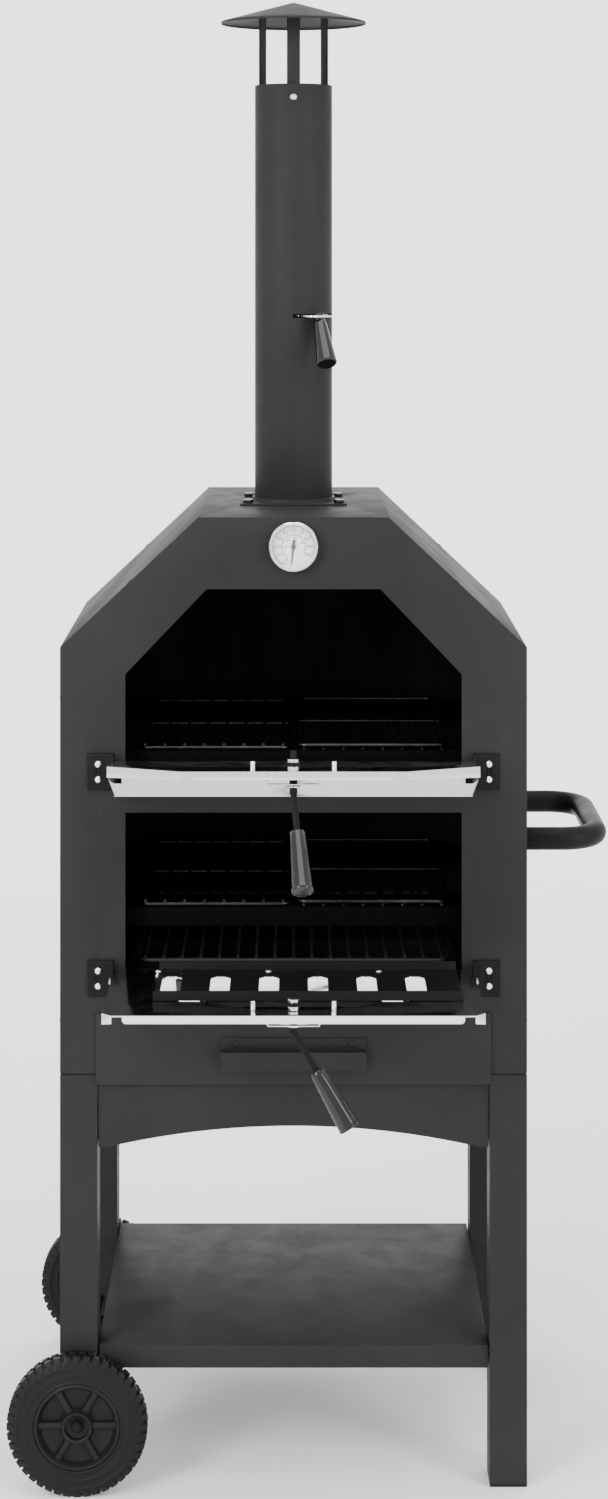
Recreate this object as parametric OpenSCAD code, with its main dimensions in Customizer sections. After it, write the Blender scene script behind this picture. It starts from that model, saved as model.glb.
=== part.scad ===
// Wood fired pizza oven: a sheet-steel oven with a baking chamber over a fire chamber,
// on a four-legged stand with two wheels, a shelf, a side handle and a capped flue.
// X runs left to right, the front faces -Y, and Z is up from the floor.

/* [Body] */
// Width of the oven body
body_w = 500; // [480:5:620]
// Depth of the oven body, front to back
body_d = 350; // [320:5:440]
// Height of the straight sides, from the underside to the shoulders
side_h = 456; // [450:2:560]
// Rise of the sloping roof, from the shoulders to the flat top
roof_rise = 139; // [120:1:180]
// Width of the flat top
roof_flat_w = 204; // [170:2:260]
// Thickness of the body's sheet steel
sheet_t = 1.5; // [1:0.1:2]

/* [Openings] */
// Width of both chamber openings
opening_w = 360; // [300:5:400]
// Height of the lower door's pivots above the underside
fire_pivot_h = 102; // [95:1:112]
// Height of the fire chamber's opening
fire_opening_h = 173; // [145:1:180]
// Height of the upper door's pivots above the underside
bake_pivot_h = 323; // [318:1:350]
// Height of the baking chamber's opening
bake_opening_h = 191; // [160:1:200]
// Width of the baking opening's flat top
bake_flat_w = 186; // [150:2:240]
// Height of the baking opening's sloping corners
bake_corner_h = 91; // [60:1:110]

/* [Doors] */
// Thickness of the doors' stainless sheet
door_t = 1.2; // [0.8:0.1:1.5]
// How far a door laps over the front panel at each side
side_lap = 11; // [8:0.5:14]
// How far a door laps over the front panel at its free edge
top_lap = 12; // [10:0.5:16]
// Depth of the flange along the hinge edge
hinge_flange = 37; // [30:1:40]
// Depth of the side flanges at the shoulders
shoulder_flange = 11; // [8:0.5:14]
// Depth of the flange along the free edge
free_flange = 8; // [6:0.5:11]
// How far that flange stops short of the door's corners
flange_trim = 11; // [4:0.5:20]
// Distance from the front panel to the hinge pivots
pivot_out = 14; // [13:0.5:18]
// Opening angle of the upper door at rest, from closed
upper_open = 81.5; // [70:0.5:90]
// Opening angle of the lower door at rest, from closed
lower_open = 88; // [70:0.5:90]

/* [Latches] */
// Distance of the upper latch shaft below the edge of its opening
upper_latch_drop = 9; // [8:0.5:14]
// Distance of the lower latch shaft below the edge of its opening
lower_latch_drop = 11; // [8:0.5:14]
// Diameter of the latch shafts
latch_d = 8; // [6:0.5:9]
// Length of the latch cams
cam_len = 30; // [24:1:36]
// Diameter of the bent handle rods
rod_d = 6.5; // [5:0.5:8]
// Length of the bent handle rods, from the bend to the grip
rod_len = 44; // [30:1:60]
// Length of the handle grips
grip_len = 64; // [50:1:80]
// Diameter of the grips at the free end
grip_d = 22; // [18:1:26]
// Lean of the handles away from the door's normal
handle_lean = 33; // [20:1:45]
// Turn of the upper handle towards the right
upper_turn = 8.5; // [0:0.5:45]
// Turn of the lower handle towards the right
lower_turn = 72; // [0:0.5:90]

/* [Air vent] */
// Width of an air slot
slot_w = 20.5; // [14:0.5:24]
// Length of an air slot
slot_len = 80; // [60:1:84]
// Distance between air slots
slot_pitch = 50.8; // [46:0.2:54]
// Number of air slots
slot_count = 6; // [4:1:6]
// Width of the slider along the door's height
slider_depth = 125; // [122:1:136]
// Length of the slider
slider_len = 315; // [300:1:325]
// Height of the slider's flanges
slider_flange = 10; // [6:0.5:12]
// Travel of the slider from open to closed
slider_travel = 21; // [18:0.5:24]

/* [Chamber] */
// Height of the upper racks above the underside
bake_rack_h = 340; // [336:1:360]
// Height of the lower racks above the underside
fire_rack_h = 171; // [160:1:200]
// Height of the charcoal grate above the underside
grate_h = 110; // [104:1:116]
// Diameter of the rack frames
rack_frame_d = 5; // [4:0.5:6]
// Diameter of the rack wires
rack_wire_d = 3.2; // [2.5:0.1:4]
// Distance between the rack wires
rack_pitch = 19.4; // [15:0.1:25]
// Height of the ash tray
ash_tray_h = 54; // [40:1:60]
// Travel of the ash tray
ash_travel = 160; // [100:5:160]
// Width of the ash tray's pull
pull_w = 155; // [100:1:200]

/* [Stand] */
// Height of the legs
leg_h = 441; // [380:1:540]
// Width of the square leg tubes
leg_w = 40; // [30:1:45]
// Wall of the leg tubes
leg_wall = 1.5; // [1.2:0.1:3]
// Height of the shelf's top above the floor
shelf_h = 151; // [120:1:200]
// Depth of the shelf's turned-down edges
shelf_lip = 25; // [15:1:35]
// Depth of the aprons at the middle of their arch
apron_mid = 57; // [40:1:80]
// Rise of the aprons' arch
apron_rise = 23; // [10:1:40]

/* [Wheels] */
// Diameter of the wheels
wheel_d = 150; // [130:2:180]
// Width of the wheels
wheel_w = 25; // [20:1:35]
// Diameter of the wheel hubs, where the tyres begin
rim_d = 92; // [80:1:100]
// Diameter of the axle
axle_d = 8; // [8:1:12]
// Number of tread lugs
lug_count = 44; // [30:1:60]

/* [Flue] */
// Outside diameter of the flue pipe
flue_d = 88; // [76:1:100]
// Length of the flue pipe
flue_h = 473; // [380:1:560]
// Height of the damper above the roof
damper_h = 211; // [150:1:300]
// Diameter of the rain cap
cap_d = 165; // [140:1:190]
// Height of the rain cap's cone
cap_rise = 25; // [18:1:40]
// Gap between the pipe and the rain cap's rim
cap_gap = 70; // [50:1:90]

/* [Side handle] */
// Diameter of the handle tube
handle_d = 25; // [20:1:30]
// Distance between the handle's arms
handle_span = 190; // [150:1:220]
// Reach of the handle from the body's side
handle_reach = 99; // [80:1:120]
// Height of the handle above the underside
handle_h = 233; // [180:1:300]

/* [Thermometer] */
// Diameter of the thermometer
gauge_d = 54; // [44:1:60]
// Height of the thermometer below the flat top
gauge_drop = 31; // [28:1:40]

/* [Hidden] */
$fn = 64;

paint = [0.16, 0.16, 0.17];
steel = [0.78, 0.78, 0.77];
black = [0.05, 0.05, 0.055];
chrome = [0.88, 0.88, 0.9];
tiny = 0.01;

// heights of the body
leg_gap = 2;
base_z = leg_h + leg_gap;
shoulder_z = base_z + side_h;
roof_z = shoulder_z + roof_rise;
front_y = -body_d / 2;
back_y = body_d / 2;
half_w = body_w / 2;
flat_half = roof_flat_w / 2;
fold_d = 15;
slip = 0.1;

// openings in the front panel
opening_half = opening_w / 2;
sill_rise = 4;
fire_pivot_z = base_z + fire_pivot_h;
bake_pivot_z = base_z + bake_pivot_h;
fire_sill_z = fire_pivot_z + sill_rise;
bake_sill_z = bake_pivot_z + sill_rise;
fire_top_z = fire_sill_z + fire_opening_h;
bake_top_z = bake_sill_z + bake_opening_h;
bake_shoulder_z = bake_top_z - bake_corner_h;
bake_flat_half = bake_flat_w / 2;

// doors, in their own frame: X across, Y towards the oven, Z from the pivot to the free edge
pivot_y = front_y - pivot_out;
door_gap = 0.5;
door_in = pivot_out - door_gap;
door_out = door_in - door_t;
door_half = opening_half + side_lap;
door_low = -2;
flange_round = 4;
corner_cut = 10;
upper_free = sill_rise + bake_opening_h + top_lap;
lower_free = sill_rise + fire_opening_h + top_lap;
upper_shoulder = sill_rise + bake_opening_h - bake_corner_h + 5;
upper_flat = bake_flat_half + side_lap * 1.7;
lower_shoulder = lower_free - corner_cut;
lower_flat = door_half - corner_cut;
flange_out = door_in - hinge_flange;
stop_gap = 0.4;
ear_r = 8;
ear_gap = 8;

// hinge brackets and pins
bracket_t = 2.5;
bracket_w = 28;
bracket_h = 39;
bracket_gap = 1.2;
bracket_in = door_half + bracket_gap;
pin_d = 6;
fit = 0.1;
rivet_d = 4;
rivet_head_d = 8;
rivet_x = bracket_in + 16.8;
rivet_spread = 8.2;

// latches
plate_w = 60;
plate_taper = 4;
plate_len = 24;
plate_out = 12.5;
plate_t = 1.2;
nut_h = 4;
nut_af = 10;
cam_t = 2.6;
cam_w = 12;
cam_gap = 0.5;
collar_d = 15;
collar_t = 1.3;
bend_out = 7.5;
grip_socket = 8;
thread_d = 6.6;
upper_thread_end = 8;
lower_thread_end = 2;
stud_x = 40.5;
stud_d = 4.8;
stud_h = 9;
upper_latch_l = sill_rise + bake_opening_h - upper_latch_drop;
lower_latch_l = sill_rise + fire_opening_h - lower_latch_drop;

// air vent in the lower door
slider_gap = 0.3;
slider_t = 1.2;
slider_low = 7.5;
slider_rest = 15;
slot_low = 33;
guide_w = 5;
guide_len = slider_travel + 6;
guide_screw_l = 17;
guide_screw_pitch = 116.5;
guide_screw_x = -143;
tab_w = 5;
tab_x = 103;
knob_l = 26;
knob_x = -118;
knob_d = 13;
knob_h = 18;

// racks, rails, grate and ash tray
rail_w = 20;
rail_t = 1.5;
rail_front_y = front_y + 25;
rail_back_y = back_y - 25;
rack_front_y = rail_front_y + 3;
rack_back_y = rail_back_y - 3;
rack_mid_gap = 3;
rack_side_gap = 10;
rack_half = opening_half - rack_side_gap;
rack_w = rack_half - rack_mid_gap / 2;
wire_sink = 0.6;
tray_t = 1;
tray_gap = 0.5;
tray_half = opening_half + 10;
tray_low = base_z + sheet_t + tray_gap;
tray_back = back_y - 25;
tray_front_y = front_y - 2;
tray_front_half = half_w - leg_w + 1;
tray_front_low = base_z - 11;
tray_front_h = 76;
tray_slack = 3;
pull_h = 20;
pull_out = 12;
pull_drop = 38;

// stand
leg_x = half_w - leg_w / 2;
leg_y = back_y - leg_w / 2;
cap_t = 3;
wheel_r = wheel_d / 2;
left_leg_low = wheel_r - 20;
leg_clear = 1.5;
apron_half = half_w - leg_w - leg_clear;
apron_in = 2;
apron_tab = 28;
apron_low = base_z - apron_mid - apron_rise;
arch_half = apron_half - 8;
apron_arch_r = (arch_half * arch_half + apron_rise * apron_rise) / (2 * apron_rise);
shelf_half_d = back_y - 4;
bolt_d = 6;
bolt_hole = 6.6;
bolt_head_h = 4;
bolt_af = 10;
shelf_bolt_y = leg_y;
shelf_bolt_z = shelf_h - shelf_lip / 2;
apron_bolt_z = base_z - 40;

// wheels
wheel_gap = 2;
hub_d = 32;
hub_recess = 6;
spoke_w = 9;
spoke_count = 6;
web_t = 5;
lug_depth = 3;
lug_gap = 3.2;
nut_cap_d = 13;

// flue
flue_wall = 1.5;
flue_r = flue_d / 2;
flue_in = flue_r - flue_wall;
flue_top = roof_z + flue_h;
flange_w = 120;
flange_d = 100;
flange_t = 2;
flange_bolt_x = 51;
flange_bolt_y = 38.5;
cap_rim_z = flue_top + cap_gap;
cap_t2 = 1.2;
strap_w = 15;
strap_t = 1.5;
strap_low = flue_top - 26;
strap_screw_z = flue_top - 15;
strap_count = 3;
damper_z = roof_z + damper_h;
damper_t = 2;
seat_t = 1.5;
seat_gap = 2.5;
vane_count = 4;
vane_angle = 45;
tongue_w = 30;
tongue_r = flue_r + 21;
tongue_turn = 30;
tongue_low = 8;
tongue_high = 37;
slot_z_gap = 1;
slot_turn_gap = 3;
grip_r = flue_r + 14;
grip_l2 = 56;

// side handle
handle_bend = 40;
handle_x = half_w + handle_reach - handle_d / 2;
handle_z = base_z + handle_h;
handle_wall = 1.5;
handle_plug = 6;
handle_bolt_d = 8;

// thermometer
gauge_z = roof_z - gauge_drop;
gauge_r = gauge_d / 2;
gauge_depth = 12;
gauge_wall = 2;
dial_r = gauge_r - gauge_wall - 0.5;
stem_d = 8;
stem_len = 60;
needle_angle = 187;

// the frame's origin is under the middle of the whole oven, as it stands with its doors open
left_reach = leg_x + wheel_r;
right_reach = half_w + handle_reach;
handle_run = plate_out + bend_out + (rod_len + grip_len) * cos(handle_lean);
handle_rise = (rod_len + grip_len) * sin(handle_lean);
front_reach = -pivot_y + (upper_latch_l + handle_rise * cos(upper_turn)) * sin(upper_open)
    + (handle_run - door_out) * cos(upper_open) + grip_d * cos(handle_lean) / 2;
back_reach = back_y + wheel_gap + wheel_w + wheel_gap;
mid_x = (right_reach - left_reach) / 2;
mid_y = (back_reach - front_reach) / 2;

// ---------- helpers ----------

// a box between two opposite corners
module block(low, high) {
    translate(low) cube(high - low);
}

// a round rod along X or Y, between two places on that axis
module rod_x(d, x0, x1) {
    translate([x0, 0, 0]) rotate([0, 90, 0]) cylinder(d = d, h = x1 - x0);
}
module rod_y(d, y0, y1) {
    translate([0, y0, 0]) rotate([-90, 0, 0]) cylinder(d = d, h = y1 - y0);
}

// the children's outline in X and Z, as a plate between two places on Y
module plate_y(y0, y1) {
    translate([0, y1, 0]) rotate([90, 0, 0]) linear_extrude(y1 - y0) children();
}

// an outline with straight sides, sloping shoulders and a flat top, drawn in by an inset
function shouldered(half, low, shoulder, flat, top, inset) =
    let (lean = atan2(half - flat, top - shoulder),
        side = half - inset,
        bend = shoulder - inset * tan(lean / 2),
        corner = flat - inset * tan((90 - lean) / 2))
    [[-side, low + inset], [side, low + inset], [side, bend],
        [corner, top - inset], [-corner, top - inset], [-side, bend]];

module body_outline(inset) {
    polygon(shouldered(half_w, base_z, shoulder_z, flat_half, roof_z, inset));
}

// a slot with round ends, centred on its middle, along X
module obround(len, w) {
    for (side = [-1, 1]) translate([side * (len - w) / 2, 0]) circle(d = w);
    square([len - w, w], center = true);
}

module mirrored_x() {
    children();
    mirror([1, 0, 0]) children();
}

// the children on each leg of the stand, as signs of X and Y
module at_legs() {
    for (sx = [-1, 1], sy = [-1, 1]) translate([sx * leg_x, sy * leg_y, 0]) children();
}

// a domed rivet or screw head along -Y, its flat side on Y = 0
module dome_head(d, h) {
    rotate([90, 0, 0]) intersection() {
        cylinder(d = d, h = h);
        translate([0, 0, h - (d * d / 4 + h * h) / (2 * h)]) sphere(r = (d * d / 4 + h * h) / (2 * h));
    }
}

// a hexagon bolt along +X: its head ends at 0 and its shank runs from there
module hex_bolt_x(d, af, head, shank) {
    rod_x(d, -tiny, shank);
    translate([-head, 0, 0]) rotate([0, 90, 0]) cylinder(d = af / cos(30), h = head, $fn = 6);
}

// the door's frame, held open at its rest angle
module hung(pivot_z, open) {
    translate([0, pivot_y, pivot_z]) rotate([open, 0, 0]) children();
}

// the latch's frame: Y along its shaft towards the oven, turned with its handle
module latched(pivot_z, open, latch_l, turn) {
    hung(pivot_z, open) translate([0, 0, latch_l]) rotate([0, turn, 0]) children();
}

// ---------- body ----------

module bake_opening() {
    polygon(shouldered(opening_half, bake_sill_z, bake_shoulder_z, bake_flat_half, bake_top_z, 0));
}

module fire_opening() {
    translate([-opening_half, fire_sill_z]) square([opening_w, fire_opening_h]);
}

module ash_opening() {
    translate([-tray_half - tray_slack, base_z + sheet_t])
        square([2 * (tray_half + tray_slack), ash_tray_h + 2 * tray_gap + tray_slack]);
}

// the edge of an end panel, folded inwards behind the side panels and the roof
module folded_edge(y0, y1) {
    plate_y(y0, y1) difference() {
        body_outline(sheet_t + slip);
        body_outline(2 * sheet_t + slip);
    }
}

module front_panel() {
    color(paint) difference() {
        union() {
            plate_y(front_y, front_y + sheet_t) difference() {
                body_outline(0);
                bake_opening();
                fire_opening();
                ash_opening();
            }
            difference() {
                folded_edge(front_y + sheet_t - tiny, front_y + fold_d);
                block([-tray_half - tray_slack, front_y, base_z],
                    [tray_half + tray_slack, back_y, base_z + 2 * sheet_t + slip + tiny]);
            }
        }
        translate([0, 0, gauge_z]) rod_y(stem_d + 2 * fit, front_y - tiny, front_y + 2 * sheet_t);
        for (z = [fire_pivot_z, bake_pivot_z], sx = [-1, 1], sz = [-1, 1])
            translate([sx * rivet_x, 0, z + sz * rivet_spread])
                rod_y(rivet_d + fit, front_y - tiny, front_y + 2 * sheet_t);
        panel_screw_holes();
    }
}

module back_panel() {
    color(paint) difference() {
        union() {
            plate_y(back_y - sheet_t, back_y) body_outline(0);
            folded_edge(back_y - fold_d, back_y - sheet_t + tiny);
        }
        panel_screw_holes();
    }
}

module side_sheet() {
    block([half_w - sheet_t, front_y + sheet_t, base_z], [half_w, back_y - sheet_t, shoulder_z]);
}

module left_side_panel() {
    color(paint) difference() {
        mirror([1, 0, 0]) side_sheet();
        panel_screw_holes();
        leg_bolt_holes();
    }
}

module right_side_panel() {
    color(paint) difference() {
        side_sheet();
        panel_screw_holes();
        for (sy = [-1, 1]) translate([0, sy * handle_span / 2, handle_z])
            rod_x(handle_bolt_d + 2 * fit, half_w - 2 * sheet_t, half_w + tiny);
    }
}

module leg_bolt_holes() {
    at_legs() translate([0, 0, base_z - leg_gap]) cylinder(d = bolt_hole, h = 2 * leg_gap + sheet_t);
}

module roof_panel() {
    color(paint) difference() {
        intersection() {
            plate_y(front_y + sheet_t, back_y - sheet_t) difference() {
                body_outline(0);
                body_outline(sheet_t);
            }
            block([-half_w, front_y, shoulder_z], [half_w, back_y, roof_z]);
        }
        translate([0, 0, roof_z - fold_d]) cylinder(r = flue_in, h = 2 * fold_d);
        flange_bolt_holes(roof_z - 2 * sheet_t, roof_z + tiny);
        panel_screw_holes();
    }
}

module base_panel() {
    inner = half_w - 2 * sheet_t - 2 * slip;
    deep = back_y - 2 * sheet_t - 2 * slip;
    low = base_z + sheet_t + slip;
    color(paint) difference() {
        union() {
            block([-half_w + sheet_t + slip, front_y + sheet_t + slip, base_z],
                [half_w - sheet_t - slip, back_y - sheet_t - slip, base_z + sheet_t - slip]);
            // guides that keep the ash tray straight
            mirrored_x() block([tray_half + tray_slack, front_y + fold_d + sheet_t, base_z],
                [tray_half + tray_slack + sheet_t, deep - fold_d, base_z + fold_d]);
        }
        leg_bolt_holes();
    }
}

// places of the screws that hold the side panels and the roof to the folded edges
side_screw_z = [for (i = [0:2]) base_z + side_h * (0.12 + 0.38 * i)];
screw_y = [front_y + fold_d / 2 + sheet_t / 2, back_y - fold_d / 2 - sheet_t / 2];
roof_lean = atan2(half_w - flat_half, roof_rise);
screw_d = 4;
screw_head_d = 8;
screw_head_h = 2.4;
panel_head_h = 0.9;

// the children at each panel screw, +X pointing out of the sheet
module at_panel_screws() {
    for (y = screw_y) mirrored_x() {
        for (z = side_screw_z) translate([half_w, y, z]) children();
        translate([(half_w + flat_half) / 2, y, (shoulder_z + roof_z) / 2])
            rotate([0, -roof_lean, 0]) children();
    }
}

module panel_screw_holes() {
    at_panel_screws() rod_x(screw_d + fit, -4 * sheet_t, 2 * sheet_t);
}

module pan_screw(head) {
    rod_x(screw_d, -3 * sheet_t - 2, tiny);
    rotate([0, 0, 90]) dome_head(screw_head_d, head);
}

module panel_screws() {
    color(black) {
        at_panel_screws() pan_screw(panel_head_h);
        for (i = [0:strap_count - 1]) rotate([0, 0, i * 360 / strap_count - 90])
            translate([flue_r, 0, strap_screw_z]) pan_screw(screw_head_h);
    }
}

// ---------- racks, grate and ash tray ----------

// an angle rail across the chamber: its top flange carries the racks
module rail(y, z, dir) {
    reach = half_w - sheet_t - slip;
    block([-reach, min(y, y + dir * rail_w), z - rail_t], [reach, max(y, y + dir * rail_w), z]);
    block([-reach, min(y, y + dir * rail_t), z - rail_w], [reach, max(y, y + dir * rail_t), z]);
}

module rack_rails() {
    color(paint) for (h = [bake_rack_h, fire_rack_h, grate_h]) {
        rail(rail_front_y, base_z + h, 1);
        rail(rail_back_y, base_z + h, -1);
    }
}

// a closed wire frame with round corners, flat on Z = 0 and centred
module wire_frame(w, d, wire, corner) {
    for (s = [-1, 1]) {
        translate([0, s * d / 2, 0]) rod_x(wire, corner - w / 2, w / 2 - corner);
        translate([s * w / 2, 0, 0]) rod_y(wire, corner - d / 2, d / 2 - corner);
    }
    for (q = [0:3]) rotate([0, 0, q * 90]) {
        far = (q % 2 == 0) ? [w, d] : [d, w];
        translate([far[0] / 2 - corner, far[1] / 2 - corner, 0])
            rotate_extrude(angle = 90) translate([corner, 0]) circle(d = wire);
    }
}

// a wire rack, its frame below and its wires on top
module wire_rack(w, d, count) {
    step = (w - rack_pitch) / count;
    cross_z = (rack_frame_d + rack_wire_d) / 2 - wire_sink;
    wire_frame(w - rack_frame_d, d - rack_frame_d, rack_frame_d, 12);
    rod_x(rack_wire_d, -w / 2 + rack_frame_d / 2, w / 2 - rack_frame_d / 2);
    for (i = [0:count]) translate([-w / 2 + rack_pitch / 2 + i * step, 0, cross_z])
        rod_y(rack_wire_d, -d / 2 + rack_wire_d / 2, d / 2 - rack_wire_d / 2);
}

rack_rows = floor((rack_w - rack_pitch) / rack_pitch);
rack_deep = rack_back_y - rack_front_y;
rack_stack = rack_frame_d + rack_wire_d - wire_sink;

module placed_rack(side, h, flipped) {
    rest = base_z + h + slip;
    x = side * (rack_w + rack_mid_gap) / 2;
    y = (rack_front_y + rack_back_y) / 2;
    if (flipped)
        translate([x, y, rest + rack_stack - rack_frame_d / 2]) rotate([180, 0, 0])
            wire_rack(rack_w, rack_deep, rack_rows);
    else
        translate([x, y, rest + rack_frame_d / 2]) wire_rack(rack_w, rack_deep, rack_rows);
}

module left_upper_rack() { color(chrome) placed_rack(-1, bake_rack_h, false); }
module right_upper_rack() { color(chrome) placed_rack(1, bake_rack_h, true); }
module left_lower_rack() { color(chrome) placed_rack(-1, fire_rack_h, false); }
module right_lower_rack() { color(chrome) placed_rack(1, fire_rack_h, true); }

// the grate is one wide rack
module charcoal_grate() {
    wide = 2 * rack_half;
    color(black) translate([0, (rack_front_y + rack_back_y) / 2, base_z + grate_h + slip + rack_frame_d / 2])
        wire_rack(wide, rack_deep, floor((wide - rack_pitch) / rack_pitch));
}

module ash_tray() {
    top = tray_low + ash_tray_h;
    color(paint) {
        difference() {
            block([-tray_half, tray_front_y - tiny, tray_low], [tray_half, tray_back, top]);
            block([-tray_half + tray_t, tray_front_y, tray_low + tray_t],
                [tray_half - tray_t, tray_back - tray_t, top + tiny]);
        }
        difference() {
            block([-tray_front_half, tray_front_y - sheet_t, tray_front_low],
                [tray_front_half, tray_front_y, tray_front_low + tray_front_h]);
            for (sx = [-1, 1]) translate([sx * pull_rivet_x, 0, pull_rivet_z])
                rod_y(rivet_d + fit, tray_front_y - 2 * sheet_t, tray_front_y + tiny);
        }
    }
}

pull_face = tray_front_y - sheet_t;
pull_top = tray_front_low + tray_front_h - pull_drop;
pull_rivet_x = pull_w / 2 - 15;
pull_rivet_z = pull_top + 6;

// a folded pull: a tab riveted to the tray's front, a ledge and a lip that turns down
module ash_tray_pull() {
    color(paint) {
        difference() {
            union() {
                block([-pull_w / 2, pull_face - sheet_t, pull_top - sheet_t],
                    [pull_w / 2, pull_face, pull_top + 12]);
                block([-pull_w / 2, pull_face - pull_out, pull_top - sheet_t],
                    [pull_w / 2, pull_face, pull_top]);
                block([-pull_w / 2, pull_face - pull_out, pull_top - pull_h],
                    [pull_w / 2, pull_face - pull_out + sheet_t, pull_top]);
            }
            for (sx = [-1, 1]) translate([sx * pull_rivet_x, 0, pull_rivet_z])
                rod_y(rivet_d + fit, pull_face - 2 * sheet_t, pull_face + tiny);
        }
        for (sx = [-1, 1]) translate([sx * pull_rivet_x, 0, pull_rivet_z]) {
            rod_y(rivet_d, pull_face - sheet_t - tiny, tray_front_y + sheet_t);
            translate([0, pull_face - sheet_t, 0]) dome_head(rivet_head_d, 2);
        }
    }
}

// ---------- stand ----------

// one leg tube around its own axis, with a welded plate that meets the body
module leg_tube(low) {
    half = leg_w / 2;
    inner = half - leg_wall;
    difference() {
        union() {
            block([-half, -half, low], [half, half, leg_h]);
            block([-inner, -inner, leg_h - 1], [inner, inner, base_z]);
        }
        block([-inner, -inner, low - 1], [inner, inner, leg_h - leg_wall]);
        translate([0, 0, leg_h - 2 * leg_wall]) cylinder(d = bolt_d + fit, h = 4 * leg_wall + leg_gap);
    }
}

// holes through the legs' inner walls, for the shelf's and the aprons' bolts
module side_bolt_holes() {
    for (sx = [-1, 1], sy = [-1, 1], z = [shelf_bolt_z, apron_bolt_z])
        translate([sx * (half_w - leg_w), sy * leg_y, z])
            rod_x(bolt_d + fit, -2 * leg_clear - 4, 2 * leg_clear + 4);
}

module left_legs() {
    color(paint) difference() {
        for (sy = [-1, 1]) translate([-leg_x, sy * leg_y, 0]) leg_tube(left_leg_low);
        side_bolt_holes();
        translate([-leg_x, 0, wheel_r]) rod_y(axle_d + fit, front_y - 1, back_y + 1);
    }
}

module right_legs() {
    color(paint) difference() {
        for (sy = [-1, 1]) translate([leg_x, sy * leg_y, 0]) leg_tube(cap_t);
        side_bolt_holes();
    }
}

module foot_caps() {
    inner = leg_w / 2 - leg_wall - 0.3;
    color(black) for (sy = [-1, 1]) translate([leg_x, sy * leg_y, 0]) {
        block([-leg_w / 2, -leg_w / 2, 0], [leg_w / 2, leg_w / 2, cap_t]);
        block([-inner, -inner, 0], [inner, inner, 6 * cap_t]);
    }
}

// an apron with an arched lower edge and two tabs that bolt to the legs
module apron() {
    y = front_y + apron_in;
    difference() {
        union() {
            block([-apron_half, y, apron_low], [apron_half, y + sheet_t, base_z - leg_gap]);
            mirrored_x() block([apron_half - sheet_t, y, apron_low],
                [apron_half, y + apron_tab, base_z - leg_gap]);
        }
        translate([0, 0, base_z - apron_mid - apron_arch_r])
            rod_y(2 * apron_arch_r, y - 1, y + 2 * sheet_t);
        side_bolt_holes();
    }
}

module aprons() {
    color(paint) {
        apron();
        mirror([0, 1, 0]) apron();
    }
}

module bottom_shelf() {
    color(paint) difference() {
        block([-apron_half, -shelf_half_d, shelf_h - shelf_lip], [apron_half, shelf_half_d, shelf_h]);
        block([-apron_half + sheet_t, -shelf_half_d + sheet_t, shelf_h - shelf_lip - 1],
            [apron_half - sheet_t, shelf_half_d - sheet_t, shelf_h - sheet_t]);
        side_bolt_holes();
    }
}

module frame_bolts() {
    shank = leg_clear + 2 * sheet_t + leg_wall + 3;
    color(steel) {
        // down through the base panel into the legs
        at_legs() translate([0, 0, base_z + sheet_t]) rotate([0, 90, 0])
            hex_bolt_x(bolt_d, bolt_af, bolt_head_h, leg_gap + sheet_t + leg_wall);
        // outwards through the shelf and the aprons into the legs
        for (sy = [-1, 1], z = [shelf_bolt_z, apron_bolt_z]) mirrored_x()
            translate([apron_half - sheet_t, sy * leg_y, z])
                hex_bolt_x(bolt_d, bolt_af, bolt_head_h, shank);
        // outwards through the right side panel into the side handle
        for (sy = [-1, 1]) translate([half_w - sheet_t, sy * handle_span / 2, handle_z])
            hex_bolt_x(handle_bolt_d, 13, 5, sheet_t + handle_plug);
    }
}

// ---------- wheels ----------

module at_axle(y) { translate([-leg_x, y, wheel_r]) children(); }

axle_end = back_y + wheel_gap + wheel_w - hub_recess + 4;

module axle() {
    color(steel) at_axle(0) rod_y(axle_d, -axle_end, axle_end);
}

module axle_nuts() {
    reach = back_y + wheel_gap + wheel_w - hub_recess + 0.4;
    color(chrome) for (s = [0, 180]) at_axle(0) rotate([0, 0, s]) {
        difference() {
            translate([0, -reach, 0]) dome_head(nut_cap_d, 7.5);
            rod_y(axle_d, -axle_end, 0);
        }
        // spacer between the leg and the wheel
        difference() {
            rod_y(axle_d + 8, front_y - wheel_gap + 0.3, front_y);
            rod_y(axle_d + fit, front_y - wheel_gap - 1, front_y + 1);
        }
    }
}

// a tyre around Y, from Y = 0 to Y = wheel_w, with a lugged tread
module tyre() {
    round_r = 5;
    rim_r = rim_d / 2;
    color(black) difference() {
        rotate([-90, 0, 0]) rotate_extrude() {
            translate([rim_r, 0]) square([wheel_r - round_r - rim_r, wheel_w]);
            translate([wheel_r - 2 * round_r, round_r]) square([2 * round_r, wheel_w - 2 * round_r]);
            for (y = [round_r, wheel_w - round_r]) translate([wheel_r - round_r, y]) circle(r = round_r);
        }
        for (i = [0:lug_count - 1]) rotate([0, i * 360 / lug_count, 0])
            block([wheel_r - lug_depth, -1, -lug_gap / 2], [wheel_r + 1, wheel_w + 1, lug_gap / 2]);
    }
}

// a moulded wheel hub around Y: rim, web, spokes on both faces and a bored barrel
module wheel_hub() {
    rim_r = rim_d / 2 - slip;
    rim_t = 4;
    web_y = (wheel_w - web_t) / 2;
    color(black) difference() {
        union() {
            difference() {
                rod_y(2 * rim_r, 1, wheel_w - 1);
                rod_y(2 * (rim_r - rim_t), -1, web_y);
                rod_y(2 * (rim_r - rim_t), web_y + web_t, wheel_w + 1);
            }
            for (i = [0:spoke_count - 1]) rotate([0, i * 360 / spoke_count, 0])
                block([hub_d / 2 - 2, 2, -spoke_w / 2], [rim_r - 1, wheel_w - 2, spoke_w / 2]);
            rod_y(hub_d, 0, wheel_w);
        }
        rod_y(axle_d + fit, -1, wheel_w + 1);
        rod_y(hub_d - 8, -1, hub_recess);
        rod_y(hub_d - 8, wheel_w - hub_recess, wheel_w + 1);
    }
}

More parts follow.
